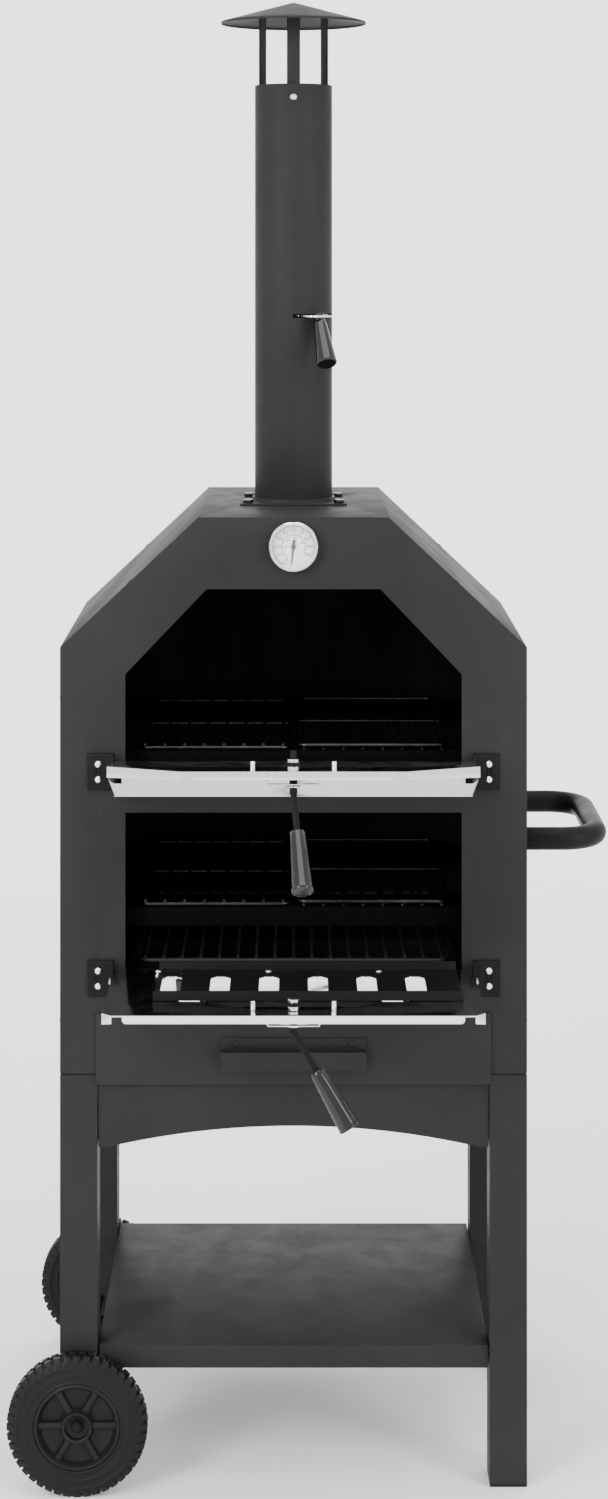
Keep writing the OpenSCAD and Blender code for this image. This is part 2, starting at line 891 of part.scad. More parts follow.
front_wheel_y = front_y - wheel_gap - wheel_w;
rear_wheel_y = back_y + wheel_gap;
module front_tyre() { at_axle(front_wheel_y) tyre(); }
module front_wheel_hub() { at_axle(front_wheel_y) wheel_hub(); }
module rear_tyre() { at_axle(rear_wheel_y) tyre(); }
module rear_wheel_hub() { at_axle(rear_wheel_y) wheel_hub(); }

// ---------- flue ----------

// a flat pie slice around Z, from one angle to another
module slice(r, from, to) {
    polygon([[0, 0], each [for (i = [0:6]) let (a = from + (to - from) * i / 6)
        [r * cos(a), r * sin(a)]]]);
}

module flue_pipe() {
    half = asin((tongue_w / 2) / flue_r);
    color(paint) difference() {
        translate([0, 0, roof_z]) cylinder(r = flue_r, h = flue_h);
        translate([0, 0, roof_z - 1]) cylinder(r = flue_in, h = flue_h + 2);
        translate([0, 0, damper_z - slot_z_gap]) linear_extrude(damper_t + 2 * slot_z_gap)
            slice(2 * flue_r, tongue_turn - 90 - tongue_low - half - slot_turn_gap,
                tongue_turn - 90 + tongue_high + half + slot_turn_gap);
        for (i = [0:strap_count - 1]) rotate([0, 0, i * 360 / strap_count - 90])
            translate([0, 0, strap_screw_z]) rod_x(screw_d + fit, flue_in - 1, flue_r + 1);
    }
}

module flange_bolt_holes(low, high) {
    for (sx = [-1, 1], sy = [-1, 1]) translate([sx * flange_bolt_x, sy * flange_bolt_y, low])
        cylinder(d = bolt_hole, h = high - low);
}

module flue_flange() {
    color(paint) difference() {
        union() {
            block([-flange_w / 2, -flange_d / 2, roof_z], [flange_w / 2, flange_d / 2, roof_z + flange_t]);
            translate([0, 0, roof_z]) cylinder(r = flue_r + 3, h = 6);
        }
        translate([0, 0, roof_z - 1]) cylinder(r = flue_r + slip, h = 10);
        flange_bolt_holes(roof_z - 1, roof_z + flange_t + 1);
    }
}

module flange_bolts() {
    color(steel) for (sx = [-1, 1], sy = [-1, 1])
        translate([sx * flange_bolt_x, sy * flange_bolt_y, roof_z + flange_t]) {
            rotate([0, 90, 0]) hex_bolt_x(bolt_d, bolt_af, bolt_head_h, flange_t + sheet_t + 6);
            translate([0, 0, -flange_t - sheet_t - 5]) difference() {
                cylinder(d = bolt_af / cos(30), h = 5, $fn = 6);
                translate([0, 0, -1]) cylinder(d = bolt_d, h = 7);
            }
        }
}

module rain_cap() {
    r = cap_d / 2;
    lip = 2.5;
    color(paint) translate([0, 0, cap_rim_z]) rotate_extrude()
        polygon([[r, 0], [r, lip], [0, cap_rise], [0, cap_rise - cap_t2], [r - cap_t2, lip - cap_t2 / 2],
            [r - cap_t2, 0]]);
}

module cap_straps() {
    r = cap_d / 2;
    slope = (cap_rise - 2.5) / r;
    tab = 12;
    face = sqrt(flue_in * flue_in - strap_w * strap_w / 4) - 0.2;
    top = cap_rim_z + cap_rise - slope * face - cap_t2 - 1.2;
    color(paint) for (i = [0:strap_count - 1]) rotate([0, 0, i * 360 / strap_count - 90]) difference() {
        union() {
            block([face - strap_t, -strap_w / 2, strap_low], [face, strap_w / 2, top]);
            // the tab that is riveted under the cone
            translate([face, 0, top]) rotate([0, atan(slope), 0])
                block([-tab - strap_t, -strap_w / 2, -strap_t], [0, strap_w / 2, 0]);
        }
        translate([0, 0, strap_screw_z]) rod_x(screw_d + fit, face - 5, face + 5);
    }
}

// a disc cut to equal vanes, flat on Z = 0
module vanes(r, t) {
    cylinder(r = 10, h = t);
    for (i = [0:vane_count - 1]) rotate([0, 0, i * 360 / vane_count]) intersection() {
        cylinder(r = r, h = t);
        linear_extrude(t) slice(2 * r, -vane_angle / 2, vane_angle / 2);
    }
}

module damper_seat() {
    color(paint) translate([0, 0, damper_z - seat_gap - seat_t]) {
        difference() {
            cylinder(r = flue_in, h = seat_t);
            translate([0, 0, -1]) cylinder(r = flue_in - 6, h = seat_t + 2);
        }
        vanes(flue_in - 5, seat_t);
        cylinder(d = pin_d, h = seat_t + seat_gap + damper_t + 6);
        cylinder(d = 2 * pin_d, h = seat_t + seat_gap - slip);
        translate([0, 0, seat_t + seat_gap + damper_t + 3.3]) cylinder(d = 2 * pin_d, h = 2.7);
    }
}

module damper_plate() {
    color(steel) translate([0, 0, damper_z]) rotate([0, 0, tongue_turn - 90]) difference() {
        union() {
            vanes(flue_in - 2, damper_t);
            cylinder(d = 2 * pin_d + 4, h = damper_t + 3);
            block([0, -tongue_w / 2, 0], [tongue_r - 6, tongue_w / 2, damper_t]);
            for (s = [-1, 1]) translate([tongue_r - 6, s * (tongue_w / 2 - 6), 0]) cylinder(r = 6, h = damper_t);
            block([tongue_r - 7, 6 - tongue_w / 2, 0], [tongue_r, tongue_w / 2 - 6, damper_t]);
        }
        translate([0, 0, -1]) cylinder(d = pin_d + fit, h = 3 * damper_t + 5);
        translate([grip_r, 0, -1]) cylinder(d = 5, h = damper_t + 2);
    }
}

// a tapered grip that hangs under the damper's tongue, held by a screw
module damper_grip() {
    turn = tongue_turn - 90;
    color(black) translate([grip_r * cos(turn), grip_r * sin(turn), damper_z]) {
        translate([0, 0, -4]) cylinder(d = 4.9, h = 4 + damper_t + 0.4);
        translate([0, 0, damper_t + 0.2]) cylinder(d = 9, h = 2.5);
        translate([0, 0, -0.2 - 5]) cylinder(d = 12, h = 5);
        translate([0, 0, -5]) rotate([-33, -10, 0]) translate([0, 0, -grip_l2]) rotate_extrude()
            polygon([[0, 0], [10.2, 0], [11.5, 1.3], [7.5, grip_l2 - 2], [6, grip_l2], [0, grip_l2]]);
    }
}

// ---------- hinges ----------

module at_hinges() {
    for (z = [fire_pivot_z, bake_pivot_z]) translate([0, 0, z]) mirrored_x() children();
}

module hinge_brackets() {
    color(paint) at_hinges() difference() {
        union() {
            block([bracket_in, front_y - bracket_t, -bracket_h / 2],
                [bracket_in + bracket_w, front_y, bracket_h / 2]);
            block([bracket_in, pivot_y, -bracket_h / 2], [bracket_in + bracket_t, front_y, bracket_h / 2]);
            translate([0, pivot_y, 0]) rod_x(2 * ear_r, bracket_in, bracket_in + bracket_t);
        }
        translate([0, pivot_y, 0]) rod_x(pin_d + fit, bracket_in - 1, bracket_in + bracket_t + 1);
        for (s = [-1, 1]) translate([rivet_x, 0, s * rivet_spread])
            rod_y(rivet_d + fit, front_y - 2 * bracket_t, front_y + 1);
        // the leg narrows towards the pivot
        for (s = [-1, 1]) translate([bracket_in - 1, pivot_y - ear_r, s * (bracket_h / 2 + ear_r)])
            rotate([0, 90, 0]) cylinder(r = 2 * ear_r, h = bracket_t + 2);
    }
}

module hinge_rivets() {
    color(chrome) at_hinges() for (s = [-1, 1]) translate([rivet_x, 0, s * rivet_spread]) {
        rod_y(rivet_d, front_y - bracket_t - tiny, front_y + sheet_t + tiny);
        translate([0, front_y - bracket_t, 0]) dome_head(rivet_head_d, 2.6);
        translate([0, front_y + sheet_t, 0]) rotate([0, 0, 180]) dome_head(rivet_head_d - 1, 1.8);
    }
}

module hinge_pins() {
    inner = door_half - door_t - 0.3;
    outer = bracket_in + bracket_t;
    color(chrome) at_hinges() translate([0, pivot_y, 0]) {
        rod_x(pin_d, inner - tiny, outer + tiny);
        rod_x(9, inner - 1.5, inner);
        translate([outer, 0, 0]) rotate([0, 0, 90]) dome_head(9.6, 2.6);
    }
}

// ---------- doors ----------

// depth of the flanges along the door's height: deep at the hinge, shallow at the free edge
module flange_profile(shoulder, free) {
    rotate([90, 0, 90]) linear_extrude(2 * door_half + 2, center = true)
        polygon([[door_in, door_low], [flange_out, door_low], [door_in - shoulder_flange, shoulder],
            [door_in - free_flange, free], [door_in, free]]);
}

// what is cut from the ends of the free-edge flange, to leave it short with round corners
module flange_ends(flat, free) {
    inner = flat - flange_trim - flange_round;
    mirrored_x() translate([0, 0, free - door_t - 0.3]) linear_extrude(door_t + 1) difference() {
        translate([inner, door_in - free_flange - 1])
            square([flange_trim + flange_round + 2, free_flange - door_t + 1]);
        translate([inner, door_in - free_flange + flange_round]) circle(r = flange_round);
        translate([inner - 1, door_in - free_flange + flange_round])
            square([flange_round + 1, free_flange]);
    }
}

// a door pan, lying against the front panel when closed
module door_pan(shoulder, flat, free, open) {
    stop_reach = (pivot_out - stop_gap - flange_out * cos(open)) / sin(open);
    difference() {
        union() {
            // the plate
            plate_y(door_out, door_in)
                polygon(shouldered(door_half, door_low, shoulder, flat, free, 0));
            // the side, shoulder and free-edge flanges
            intersection() {
                plate_y(flange_out, door_in) difference() {
                    polygon(shouldered(door_half, door_low, shoulder, flat, free, 0));
                    polygon(shouldered(door_half, door_low - 3 * door_t, shoulder, flat, free, door_t));
                }
                flange_profile(shoulder, free);
            }
            // the hinge-edge flange, notched around the pivots, and its stop lip
            block([ear_gap - door_half, flange_out, door_low],
                [door_half - ear_gap, door_in, door_low + door_t]);
            block([-door_half, flange_out, door_low], [door_half, -ear_r - 2, door_low + door_t]);
            block([-door_half, flange_out, -stop_reach],
                [door_half, flange_out + door_t, door_low + door_t]);
            // the ears around the pivots
            mirrored_x() rod_x(2 * ear_r, door_half - door_t, door_half);
        }
        mirrored_x() rod_x(pin_d + fit, door_half - 2 * door_t, door_half + 1);
        flange_ends(flat, free);
    }
}

// the latch's round hole through a door plate
module latch_hole(l) {
    translate([0, 0, l]) rod_y(latch_d + fit, -plate_out, door_in + 1);
}

module stud_holes(l) {
    for (s = [-1, 1]) translate([s * stud_x, 0, l]) rod_y(3.2, door_out - 2, door_in + 1);
}

module upper_door_panel() {
    color(steel) hung(bake_pivot_z, upper_open) difference() {
        door_pan(upper_shoulder, upper_flat, upper_free, upper_open);
        latch_hole(upper_latch_l);
        stud_holes(upper_latch_l);
    }
}

// one row of air slots, centred on X = 0, from slot_low up
module air_slots(x, y0, y1) {
    for (i = [0:slot_count - 1])
        translate([x + (i - (slot_count - 1) / 2) * slot_pitch, 0, slot_low + slot_len / 2])
            plate_y(y0, y1) rotate(90) obround(slot_len, slot_w);
}

// a guide slot along X
module guide_slot(x, l, len, y0, y1) {
    translate([x, 0, l]) plate_y(y0, y1) obround(len, guide_w);
}

tab_l = slider_low + slider_depth - slider_t / 2;

module lower_door_panel() {
    color(steel) hung(fire_pivot_z, lower_open) difference() {
        door_pan(lower_shoulder, lower_flat, lower_free, lower_open);
        latch_hole(lower_latch_l);
        stud_holes(lower_latch_l);
        air_slots(0, door_out - 1, door_in + 1);
        for (s = [-1, 1]) guide_slot(s * tab_x, tab_l, guide_len, door_out - 1, door_in + 1);
        guide_slot(knob_x - slider_travel / 2, knob_l, guide_len, door_out - 1, door_in + 1);
        for (i = [0:2]) translate([guide_screw_x + i * guide_screw_pitch, 0, guide_screw_l])
            rod_y(3.2, door_out - 1, door_in + 1);
    }
}

// a shallow bridge on the outside of a door, that holds the latch's shaft square
module handle_plate(l) {
    low = door_out - plate_out;
    wide = plate_w / 2;
    color(steel) translate([0, 0, l - plate_len / 2]) difference() {
        linear_extrude(plate_len)
            polygon([[-wide, door_out], [plate_taper - wide, low], [wide - plate_taper, low], [wide, door_out]]);
        translate([0, 0, -1]) linear_extrude(plate_len + 2)
            polygon([[plate_t - wide, door_out + tiny], [plate_t + plate_taper - wide, low + plate_t],
                [wide - plate_taper - plate_t, low + plate_t], [wide - plate_t, door_out + tiny]]);
        translate([0, 0, plate_len / 2]) rod_y(latch_d + fit, low - 1, door_out + 1);
    }
}

module upper_handle_plate() { hung(bake_pivot_z, upper_open) handle_plate(upper_latch_l); }
module lower_handle_plate() { hung(fire_pivot_z, lower_open) handle_plate(lower_latch_l); }

// two studs inside a door, beside the latch
module door_studs(l) {
    for (s = [-1, 1]) translate([s * stud_x, 0, l]) {
        rod_y(3, door_out - 1.2, door_in + 1);
        rod_y(stud_d, door_in, door_in + stud_h);
        translate([0, door_out, 0]) dome_head(6.5, 1.6);
    }
}

module upper_door_studs() { color(chrome) hung(bake_pivot_z, upper_open) door_studs(upper_latch_l); }

// the lower door also carries the three shoulder screws that guide the air slider
module lower_door_studs() {
    color(chrome) hung(fire_pivot_z, lower_open) {
        door_studs(lower_latch_l);
        for (i = [0:2]) translate([guide_screw_x + i * guide_screw_pitch, 0, guide_screw_l]) {
            rod_y(3, door_out - 0.5, door_in + 1);
            rod_y(4.4, door_in, door_in + slider_gap + slider_t + 0.5);
            translate([0, door_in + slider_gap + slider_t + 0.3, 0]) rotate([0, 0, 180]) dome_head(8, 2.2);
            translate([0, door_out, 0]) dome_head(6, 1.2);
        }
    }
}

// ---------- latches ----------

bend_y = door_out - plate_out - bend_out;
collar_y = door_out - plate_out - 0.1;
nut_y = door_in + slip;
cam_y = nut_y + nut_h + cam_gap;
lock_y = cam_y + cam_t + cam_gap;

// the shaft through the door, its collar and the bent rod of the handle
module latch_shaft(thread_end) {
    color(black) {
        rod_y(latch_d, bend_y, nut_y);
        rod_y(thread_d, nut_y - tiny, lock_y + nut_h + thread_end);
        rod_y(collar_d, collar_y - collar_t, collar_y);
        translate([0, bend_y, 0]) sphere(d = latch_d);
        translate([0, bend_y, 0]) rotate([-handle_lean, 0, 0]) rod_y(rod_d, -rod_len - grip_socket, 0);
    }
}

module handle_grip() {
    r = grip_d / 2;
    color(black) translate([0, bend_y, 0]) rotate([-handle_lean, 0, 0])
        translate([0, -rod_len, 0]) rotate([90, 0, 0]) difference() {
            rotate_extrude() polygon([[0, 0], [0.62 * r, 0], [0.7 * r, 1.5], [0.97 * r, grip_len - 3],
                [r, grip_len - 1.5], [0.95 * r, grip_len], [0, grip_len]]);
            translate([0, 0, -1]) cylinder(d = rod_d + 0.02, h = grip_socket + 1.2);
        }
}

module hex_nut_y(y, h, af) {
    translate([0, y, 0]) rotate([-90, 0, 0]) difference() {
        cylinder(d = af / cos(30), h = h, $fn = 6);
        translate([0, 0, -1]) cylinder(d = thread_d + 0.02, h = h + 2);
    }
}

// a nut on each side of the cam, and a bright washer under the collar
module latch_nuts() {
    color(chrome) {
        hex_nut_y(nut_y, nut_h, nut_af);
        hex_nut_y(lock_y, nut_h - 0.6, nut_af);
        translate([0, collar_y - collar_t, 0]) rotate([90, 0, 0]) difference() {
            cylinder(d = collar_d - 3, h = 1.2);
            translate([0, 0, -1]) cylinder(d = latch_d + 0.02, h = 3);
        }
    }
}

// the cam points away from the handle
module latch_cam() {
    color(black) difference() {
        union() {
            rod_y(cam_w + 1, cam_y - cam_gap, cam_y + cam_t + cam_gap);
            block([-cam_w / 2, cam_y, cam_w / 2 - cam_len], [cam_w / 2, cam_y + cam_t, 0]);
            translate([0, 0, cam_w / 2 - cam_len]) rod_y(cam_w, cam_y, cam_y + cam_t);
        }
        rod_y(thread_d + 0.02, cam_y - 2, cam_y + 2 * cam_t);
    }
}

module upper_latch() { latched(bake_pivot_z, upper_open, upper_latch_l, upper_turn) children(); }
module lower_latch() { latched(fire_pivot_z, lower_open, lower_latch_l, lower_turn) children(); }
module upper_latch_shaft() { upper_latch() latch_shaft(upper_thread_end); }
module upper_latch_nuts() { upper_latch() latch_nuts(); }
module upper_latch_cam() { upper_latch() latch_cam(); }
module upper_handle_grip() { upper_latch() handle_grip(); }
module lower_latch_shaft() { lower_latch() latch_shaft(lower_thread_end); }
module lower_latch_nuts() { lower_latch() latch_nuts(); }
module lower_latch_cam() { lower_latch() latch_cam(); }
module lower_handle_grip() { lower_latch() handle_grip(); }

// ---------- air vent ----------

slider_y = door_in + slider_gap;

module vent_slider() {
    x0 = slider_rest - slider_len / 2;
    x1 = slider_rest + slider_len / 2;
    high = slider_low + slider_depth;
    tall = slider_y + slider_flange;
    color(paint) hung(fire_pivot_z, lower_open) difference() {
        union() {
            block([x0, slider_y, slider_low], [x1, slider_y + slider_t, high]);
            for (l = [slider_low, high - slider_t]) block([x0, slider_y, l], [x1, tall, l + slider_t]);
            // tabs that hook through the door's guide slots
            for (s = [-1, 1]) translate([s * tab_x + guide_len / 2 - tab_w / 2 - 0.5, 0, 0])
                block([-tab_w / 2, door_out - 2.5, high - slider_t], [tab_w / 2, slider_y + 1, high]);
        }
        air_slots(0, slider_y - 1, slider_y + slider_t + 1);
        for (i = [0:2]) guide_slot(guide_screw_x + i * guide_screw_pitch + guide_len / 2 - guide_w / 2,
            guide_screw_l, guide_len, slider_y - 1, slider_y + slider_t + 1);
        translate([knob_x, 0, knob_l]) rod_y(4, slider_y - 1, slider_y + slider_t + 1);
    }
}

module vent_knob() {
    color(black) hung(fire_pivot_z, lower_open) translate([knob_x, 0, knob_l]) {
        rod_y(3.98, door_out - 1.5, slider_y + slider_t + 0.5);
        translate([0, slider_y + slider_t, 0]) rotate([0, 0, 180]) dome_head(7, 1.5);
        translate([0, door_out - 0.5, 0]) rotate([90, 0, 0]) rotate_extrude()
            polygon([[0, 0], [4.4, 0], [4.4, 2], [knob_d / 2, 3], [knob_d / 2 - 0.6, knob_h - 1],
                [knob_d / 2 - 1.6, knob_h], [0, knob_h]]);
    }
}

// ---------- side handle ----------

module handle_bar(d) {
    half = handle_span / 2;
    for (s = [-1, 1]) {
        translate([0, s * half, 0]) rod_x(d, half_w + 0.1, handle_x - handle_bend);
        translate([handle_x - handle_bend, s * (half - handle_bend), 0]) rotate([0, 0, s > 0 ? 0 : -90])
            rotate_extrude(angle = 90) translate([handle_bend, 0]) circle(d = d);
    }
    translate([handle_x, 0, 0]) rod_y(d, handle_bend - half, half - handle_bend);
}

module side_handle() {
    color(black) translate([0, 0, handle_z]) difference() {
        union() {
            difference() {
                handle_bar(handle_d);
                handle_bar(handle_d - 2 * handle_wall);
            }
            for (s = [-1, 1]) translate([0, s * handle_span / 2, 0])
                rod_x(handle_d - 2 * handle_wall + 0.02, half_w + 0.1, half_w + handle_plug);
        }
        for (s = [-1, 1]) translate([0, s * handle_span / 2, 0])
            rod_x(handle_bolt_d, half_w - 1, half_w + handle_plug + 1);
    }
}

// ---------- thermometer ----------

module at_gauge() { translate([0, front_y, gauge_z]) rotate([90, 0, 0]) children(); }

module gauge_case() {
    color(chrome) at_gauge() {
        rotate_extrude() polygon([[0, 0], [gauge_r - 3, 0], [gauge_r, 3], [gauge_r, gauge_depth - 2],
            [gauge_r - 1.5, gauge_depth], [gauge_r - 3.4, gauge_depth], [gauge_r - 3.4, gauge_depth - 1],
            [gauge_r - gauge_wall, gauge_depth - 1], [gauge_r - gauge_wall, gauge_wall], [0, gauge_wall]]);
        translate([0, 0, -stem_len]) cylinder(d = stem_d, h = stem_len + 1);
        translate([0, 0, -sheet_t - 5]) difference() {
            cylinder(d = 15, h = 5, $fn = 6);
            translate([0, 0, -1]) cylinder(d = stem_d - tiny, h = 7);
        }
    }
}

module gauge_dial() {
    color("white") at_gauge() translate([0, 0, gauge_wall + 0.1]) difference() {
        cylinder(r = dial_r, h = 1);
        translate([0, 0, -1]) cylinder(d = 2.1, h = 3);
    }
}

module gauge_needle() {
    arrow = dial_r * 0.78;
    tail = dial_r * 0.3;
    color(black) at_gauge() translate([0, 0, gauge_wall + 2]) {
        rotate([0, 0, -needle_angle]) linear_extrude(0.6)
            polygon([[-1.5, -tail], [1.5, -tail], [0.4, arrow], [-0.4, arrow]]);
        cylinder(d = 5, h = 1.4);
        translate([0, 0, -1.8]) cylinder(d = 2, h = 2);
    }
}

module gauge_glass() {
    color([0.8, 0.9, 0.95, 0.35]) at_gauge() translate([0, 0, gauge_depth - 3.2])
        cylinder(r = gauge_r - gauge_wall - slip, h = 2);
}

// ---------- the whole oven ----------

module placed() { translate([-mid_x, -mid_y, 0]) children(); }

placed() front_panel();
placed() back_panel();
placed() left_side_panel();
placed() right_side_panel();
placed() roof_panel();
placed() base_panel();
placed() panel_screws();
placed() rack_rails();
placed() left_upper_rack();
placed() right_upper_rack();
placed() left_lower_rack();
placed() right_lower_rack();
placed() charcoal_grate();
placed() ash_tray();
placed() ash_tray_pull();
placed() left_legs();
placed() right_legs();
placed() aprons();
placed() bottom_shelf();
placed() frame_bolts();
placed() foot_caps();
placed() axle();
placed() front_tyre();
placed() front_wheel_hub();
placed() rear_tyre();
placed() rear_wheel_hub();
placed() axle_nuts();
placed() flue_pipe();
placed() flue_flange();
placed() flange_bolts();
placed() rain_cap();
placed() cap_straps();
placed() damper_seat();
placed() damper_plate();
placed() damper_grip();
placed() hinge_brackets();
placed() hinge_rivets();
placed() hinge_pins();
placed() upper_door_panel();
placed() upper_handle_plate();
placed() upper_door_studs();
placed() upper_latch_shaft();
placed() upper_latch_nuts();
placed() upper_latch_cam();
placed() upper_handle_grip();
placed() lower_door_panel();
placed() lower_handle_plate();
placed() lower_door_studs();
placed() lower_latch_shaft();
placed() lower_latch_nuts();
placed() lower_latch_cam();
placed() lower_handle_grip();
placed() vent_slider();
placed() vent_knob();
placed() side_handle();
placed() gauge_case();
placed() gauge_dial();
placed() gauge_needle();
placed() gauge_glass();
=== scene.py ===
"""Looks for the wood fired pizza oven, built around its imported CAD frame."""

import math

import bmesh
import bpy
from mathutils import Matrix, Vector


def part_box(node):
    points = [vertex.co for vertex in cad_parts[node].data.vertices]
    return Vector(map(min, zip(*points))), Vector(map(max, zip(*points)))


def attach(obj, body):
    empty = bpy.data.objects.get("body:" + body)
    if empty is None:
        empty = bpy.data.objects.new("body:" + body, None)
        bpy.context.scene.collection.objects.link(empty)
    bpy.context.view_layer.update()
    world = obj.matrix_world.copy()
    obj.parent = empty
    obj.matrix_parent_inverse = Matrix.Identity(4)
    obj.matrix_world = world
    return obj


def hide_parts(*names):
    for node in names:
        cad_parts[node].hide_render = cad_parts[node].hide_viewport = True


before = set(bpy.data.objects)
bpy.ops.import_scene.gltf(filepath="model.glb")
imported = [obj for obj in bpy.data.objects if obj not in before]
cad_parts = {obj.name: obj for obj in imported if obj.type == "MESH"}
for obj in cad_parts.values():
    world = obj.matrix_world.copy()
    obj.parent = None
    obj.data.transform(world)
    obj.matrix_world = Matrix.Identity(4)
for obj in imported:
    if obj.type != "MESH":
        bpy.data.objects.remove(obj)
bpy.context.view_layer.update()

front_low, front_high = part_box("front_panel")
back_low, back_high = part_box("back_panel")
MID_X = (front_low[0] + front_high[0]) / 2
FRONT_Y = front_low[1]
BACK_Y = back_high[1]
MID_Y = (FRONT_Y + BACK_Y) / 2


# ---------- camera, light and floor ----------

def add_camera():
    data = bpy.data.cameras.new("camera")
    data.sensor_fit = "VERTICAL"
    data.sensor_height = 36
    data.lens = 61.36
    data.shift_x = 0.007
    data.shift_y = -0.3332
    data.clip_end = 100
    camera = bpy.data.objects.new("camera", data)
    camera.location = (MID_X, FRONT_Y - 2.734, 1.324)
    camera.rotation_euler = (math.radians(90), 0, 0)
    bpy.context.scene.collection.objects.link(camera)
    bpy.context.scene.camera = camera


def add_area(name, place, target, size, power):
    data = bpy.data.lights.new(name, "AREA")
    data.shape = "RECTANGLE"
    data.size, data.size_y = size
    data.energy = power
    light = bpy.data.objects.new(name, data)
    light.location = place
    light.rotation_euler = (Vector(target) - Vector(place)).to_track_quat("-Z", "Y").to_euler()
    bpy.context.scene.collection.objects.link(light)


def add_world():
    world = bpy.data.worlds.new("studio")
    world.use_nodes = True
    background = world.node_tree.nodes["Background"]
    background.inputs["Color"].default_value = (1, 1, 1, 1)
    background.inputs["Strength"].default_value = 1.5
    bpy.context.scene.world = world


def link_new(name, mesh, material=None):
    obj = bpy.data.objects.new(name, mesh)
    bpy.context.scene.collection.objects.link(obj)
    if material:
        mesh.materials.append(material)
    return obj


def add_floor(material):
    """A pale floor that curves up into a wall far behind the oven."""
    profile = [(-9.0, 0.0), (5.0, 0.0)]
    radius = 3.0
    for i in range(1, 17):
        a = i / 16 * math.pi / 2
        profile.append((5.0 + radius * math.sin(a), radius - radius * math.cos(a)))
    profile.append((8.0, 12.0))
    verts, faces = [], []
    for y, z in profile:
        verts += [(-14, y, z), (14, y, z)]
    for i in range(len(profile) - 1):
        faces.append((2 * i, 2 * i + 1, 2 * i + 3, 2 * i + 2))
    mesh = bpy.data.meshes.new("floor")
    mesh.from_pydata(verts, [], faces)
    for polygon in mesh.polygons:
        polygon.use_smooth = True
    floor = link_new("floor", mesh, material)


# ---------- materials ----------

class Nodes:
    """A small builder for one material's nodes."""

    def __init__(self, name):
        self.material = bpy.data.materials.new(name)
        self.material.use_nodes = True
        self.tree = self.material.node_tree
        self.shader = self.tree.nodes["Principled BSDF"]
        self.coord = self.tree.nodes.new("ShaderNodeTexCoord")
        self.place = self.coord.outputs["Object"]

    def link(self, a, b):
        self.tree.links.new(a, b)

    def value(self, socket, value):
        self.shader.inputs[socket].default_value = value

    def stretch(self, scale):
        node = self.tree.nodes.new("ShaderNodeMapping")
        node.inputs["Scale"].default_value = scale
        self.link(self.place, node.inputs["Vector"])
        return node.outputs["Vector"]

    def noise(self, scale, detail=3, rough=0.55, vector=None, distortion=0.0):
        node = self.tree.nodes.new("ShaderNodeTexNoise")
        node.inputs["Scale"].default_value = scale
        node.inputs["Detail"].default_value = detail
        node.inputs["Roughness"].default_value = rough
        node.inputs["Distortion"].default_value = distortion
        self.link(vector or self.place, node.inputs["Vector"])
        return node.outputs["Fac"]

    def cells(self, scale, vector=None, feature="F1"):
        node = self.tree.nodes.new("ShaderNodeTexVoronoi")
        node.feature = feature
        node.inputs["Scale"].default_value = scale
        self.link(vector or self.place, node.inputs["Vector"])
        return node.outputs["Distance"]

    def ramp(self, fac, stops):
        """stops is a list of (place, colour or grey)."""
        node = self.tree.nodes.new("ShaderNodeValToRGB")
        ramp = node.color_ramp
        while len(ramp.elements) < len(stops):
            ramp.elements.new(0.5)
        for element, (where, colour) in zip(ramp.elements, stops):
            element.position = where
            element.color = (colour, colour, colour, 1) if isinstance(colour, float) else (*colour, 1)
        self.link(fac, node.inputs["Fac"])
        return node.outputs["Color"]

    def mix(self, fac, a, b, how="MIX"):
        node = self.tree.nodes.new("ShaderNodeMix")
        node.data_type = "RGBA"
        node.blend_type = how
        for value, socket in ((fac, node.inputs[0]), (a, node.inputs[6]), (b, node.inputs[7])):
            if isinstance(value, (int, float)):
                socket.default_value = value
            elif isinstance(value, tuple):
                socket.default_value = (*value, 1)
            else:
                self.link(value, socket)
        return node.outputs[2]

    def maths(self, how, a, b=0.0, clamp=False):
        node = self.tree.nodes.new("ShaderNodeMath")
        node.operation = how
        node.use_clamp = clamp
        for value, socket in ((a, node.inputs[0]), (b, node.inputs[1])):
            if isinstance(value, (int, float)):
                socket.default_value = value
            else:
                self.link(value, socket)
        return node.outputs[0]

    def colour(self, socket):
        self.link(socket, self.shader.inputs["Base Color"])

    def roughness(self, socket):
        self.link(socket, self.shader.inputs["Roughness"])

    def bump(self, heights, distance=0.0002):
        """heights is a list of (height socket, strength), finest last."""
        normal = None
        for height, strength in heights:
            node = self.tree.nodes.new("ShaderNodeBump")
            node.inputs["Strength"].default_value = strength
            node.inputs["Distance"].default_value = distance
            self.link(height, node.inputs["Height"])
            if normal:
                self.link(normal, node.inputs["Normal"])
            normal = node.outputs["Normal"]
        self.link(normal, self.shader.inputs["Normal"])


def scaled(colour, k):
    return tuple(min(1.0, c * k) for c in colour)


